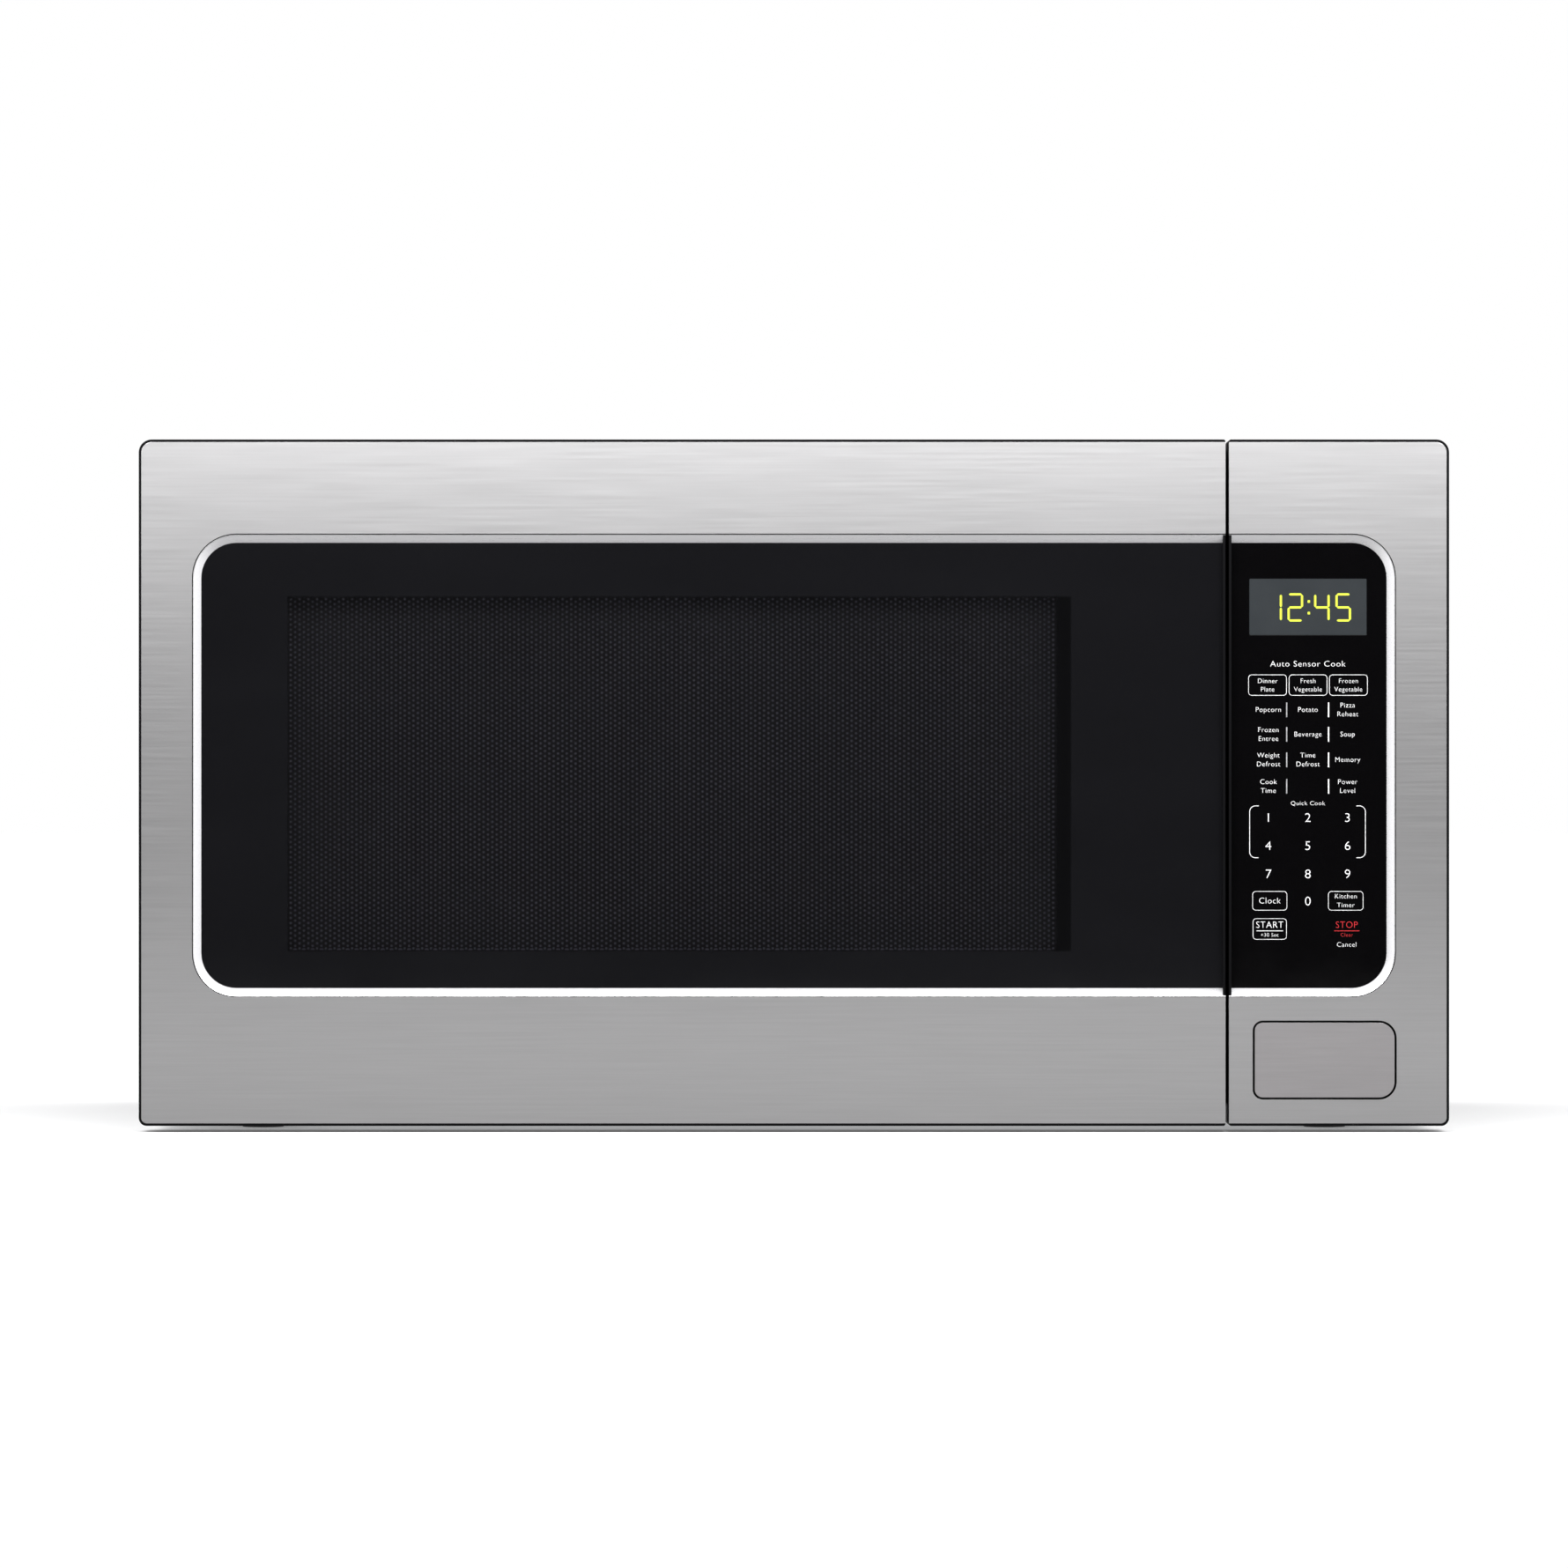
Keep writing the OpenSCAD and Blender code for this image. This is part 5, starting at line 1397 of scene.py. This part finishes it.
@dataclass
class Tray:
    """The glass turntable tray.

    The section's points go outwards under it and back over it, each in from the rim and up from
    the underside, in millimetres.
    """

    steps: int = 96
    thick: float = 5 * MM
    lug: float = 4.0 * MM
    lug_taper: float = 0.86
    lug_sink: float = 0.5 * MM
    lug_place: float = 18 * MM
    section: tuple[Span, ...] = ((20, 0), (8, 3), (0, 12), (0.4, 13.4), (1.6, 14), (3, 13.6),
                                 (11, 8), (22, 5))

    def build(self) -> None:
        """Spins the tray's section, then adds the lugs under its middle."""
        low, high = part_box("glass_tray")
        centre = (low + high) / 2
        radius, base = (high.x - low.x) / 2, low.z + self.lug
        points = ((0, 0), *((radius - inset * MM, up * MM) for inset, up in self.section),
                  (0, self.thick))
        shape = Shape("tray_pressed_glass")
        verts = [shape.bm.verts.new((centre.x + r, centre.y, base + h)) for r, h in points]
        edges = [shape.bm.edges.new(pair) for pair in zip(verts, verts[1:])]
        bmesh.ops.spin(shape.bm, geom=verts + edges, cent=(centre.x, centre.y, 0), axis=(0, 0, 1),
                       angle=math.tau, steps=self.steps, use_merge=True)
        bmesh.ops.remove_doubles(shape.bm, verts=shape.bm.verts[:], dist=1e-5)
        depth = self.lug + self.lug_sink
        out = Matrix.Translation((self.lug_place, 0, low.z - centre.z + depth / 2))
        for turn in (60, 180, 300):
            around = Matrix.Translation(centre) @ Matrix.Rotation(math.radians(turn), 4, "Z")
            foot = bmesh.new()
            bmesh.ops.create_cone(foot, cap_ends=True, segments=24, depth=depth,
                                  radius1=self.lug * self.lug_taper, radius2=self.lug,
                                  matrix=around @ out)
            shape.join(foot)
        bmesh.ops.recalc_face_normals(shape.bm, faces=shape.bm.faces[:])
        shape.done("tray", TRAY_CLEAR, "tray_glass", ["glass_tray"])


@dataclass
class Spring:
    """A coil spring between two bodies, copied as it stands."""

    node: str
    held_by: str
    moved_by: str
    axis: int
    fixed_low: bool

    def build(self) -> None:
        """Copies the coil as one piece on no body; the end points that it works out are not used."""
        low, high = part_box(self.node)
        shape = Shape.copy_of(self.node, "coil")
        slot = slot_of(self.node)
        coil = shape.done(None, SLOT_FINISHES[slot], slot, [self.node], 60.0, False)
        ends = [list((low + high) / 2) for _ in range(2)]
        ends[0][self.axis], ends[1][self.axis] = low[self.axis], high[self.axis]
        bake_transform(coil)


@dataclass
class Carcass:
    """Every CAD node that keeps its own shape, with its finish."""

    softened: Sequence[tuple[str, str, float]] = (
        ("choke_cover", "door", 0.4 * MM),
        ("front_plate", "cabinet", 0.25 * MM),
        ("roller_ring", "ring", 0.4 * MM),
        ("feet", "cabinet", 0.6 * MM),
    )

    def build(self) -> None:
        """Dresses the CAD nodes by their slots and rounds the edges of those in view."""
        for part in frame["record"]["subparts"]:
            node = frame["nodes"][part["node"]]
            node.data.materials.clear()
            node.data.materials.append(SLOT_FINISHES[part["material_slot"]].material())
        for node, body, width in self.softened:
            Softened(node, body, width).build()


# ---------------------------------------------------------------- studio

@dataclass
class Studio:
    """Floor, lights, world and camera."""

    distance: float = 5.0
    view_width: float = 0.7263
    aim: tuple[float, float] = (-0.0046, 0.1614)
    sensor: float = 36.0
    below: float = 0.55
    tent: tuple[tuple[float, Colour], ...] = (
        (0.0, (0.05,) * 3), (0.03, (0.06,) * 3), (0.13, (0.12,) * 3), (0.42, (0.33,) * 3),
        (1.0, (1.12, 1.12, 1.13)))

    def build(self) -> None:
        """Sets up the whole studio."""
        self.camera()
        self.world()
        self.floor()
        self.light("key", (0.0, -0.75, 0.62), (1.4, 0.25), 12.0, (0.0, -0.245, 0.32))
        self.light("low_fill", (0.0, -0.65, 0.02), (1.4, 0.06), 0.34, (0.0, -0.245, 0.0))

    def camera(self) -> None:
        """Puts the camera square to the front."""
        data = bpy.data.cameras.new("camera")
        data.sensor_width, data.lens = self.sensor, self.sensor * self.distance / self.view_width
        data.clip_start, data.clip_end = 0.1, 100.0
        item = put("camera", data)
        item.location = (self.aim[0], CAD_BOX[0].y - self.distance, self.aim[1])
        item.rotation_euler = (math.radians(90), 0, 0)
        bpy.context.scene.camera = item

    def world(self) -> None:
        """Gives a soft grey light and a white backdrop."""
        world = bpy.data.worlds.new("studio")
        world.use_nodes = True
        bpy.context.scene.world = world
        g = Graph(world.node_tree, "ShaderNodeBackground", "ShaderNodeOutputWorld")
        way = g.add("ShaderNodeSeparateXYZ", sockets={0: g.take("ShaderNodeTexCoord", "Generated")})
        up = g.level(Value(g, way.outputs["Z"]), -0.9, -0.4, self.below, 1.0)
        ahead = g.level(Value(g, way.outputs["Y"]), -1.0, -0.4)
        tent = g.mix(up, (0.0,) * 3, g.ramp(ahead, *self.tent))
        seen = g.take("ShaderNodeLightPath", "Is Camera Ray")
        g.feed(g.shader.inputs["Color"], g.mix(seen, tent, (1.0, 1.0, 1.0)))
        bpy.context.scene.view_settings.view_transform = "Standard"

    def floor(self) -> None:
        """Lays the pale floor."""
        bm = bmesh.new()
        bmesh.ops.create_grid(bm, x_segments=1, y_segments=1, size=30.0)
        data = bpy.data.meshes.new("floor")
        bm.to_mesh(data)
        bm.free()
        data.materials.append(Paper("floor_paper", (0.93, 0.93, 0.93), 0.9, 0.12).material())
        item = put("floor", data)
        item.visible_glossy = False

    def light(self, name: str, place: Sequence[float], size: Span, power: float,
              target: Sequence[float]) -> None:
        """Adds a soft box.

        Args:
            name: its name.
            place: where it stands.
            size: its width and height.
            power: its power in watts.
            target: the point that it faces.
        """
        data = bpy.data.lights.new(name, "AREA")
        data.shape, data.size, data.size_y, data.energy = "RECTANGLE", size[0], size[1], power
        item = put(name, data)
        item.location = place
        item.visible_camera = False
        item.rotation_euler = (Vector(target) - Vector(place)).to_track_quat("-Z", "Y").to_euler()


def main() -> None:
    logging.basicConfig(level=logging.INFO, format="%(name)s %(message)s")
    fascia = Fascia()
    for part in (Studio(), Carcass(), fascia, ReleaseButton(), DoorWindow(fascia), Keypad(fascia),
                 Display(), Tray(), Spring("button_spring", "cabinet", "button", 1, False),
                 Spring("hook_spring", "door", "hooks", 2, True)):
        part.build()
        log.info("%s built", type(part).__name__)


if __name__ == "__main__":
    main()
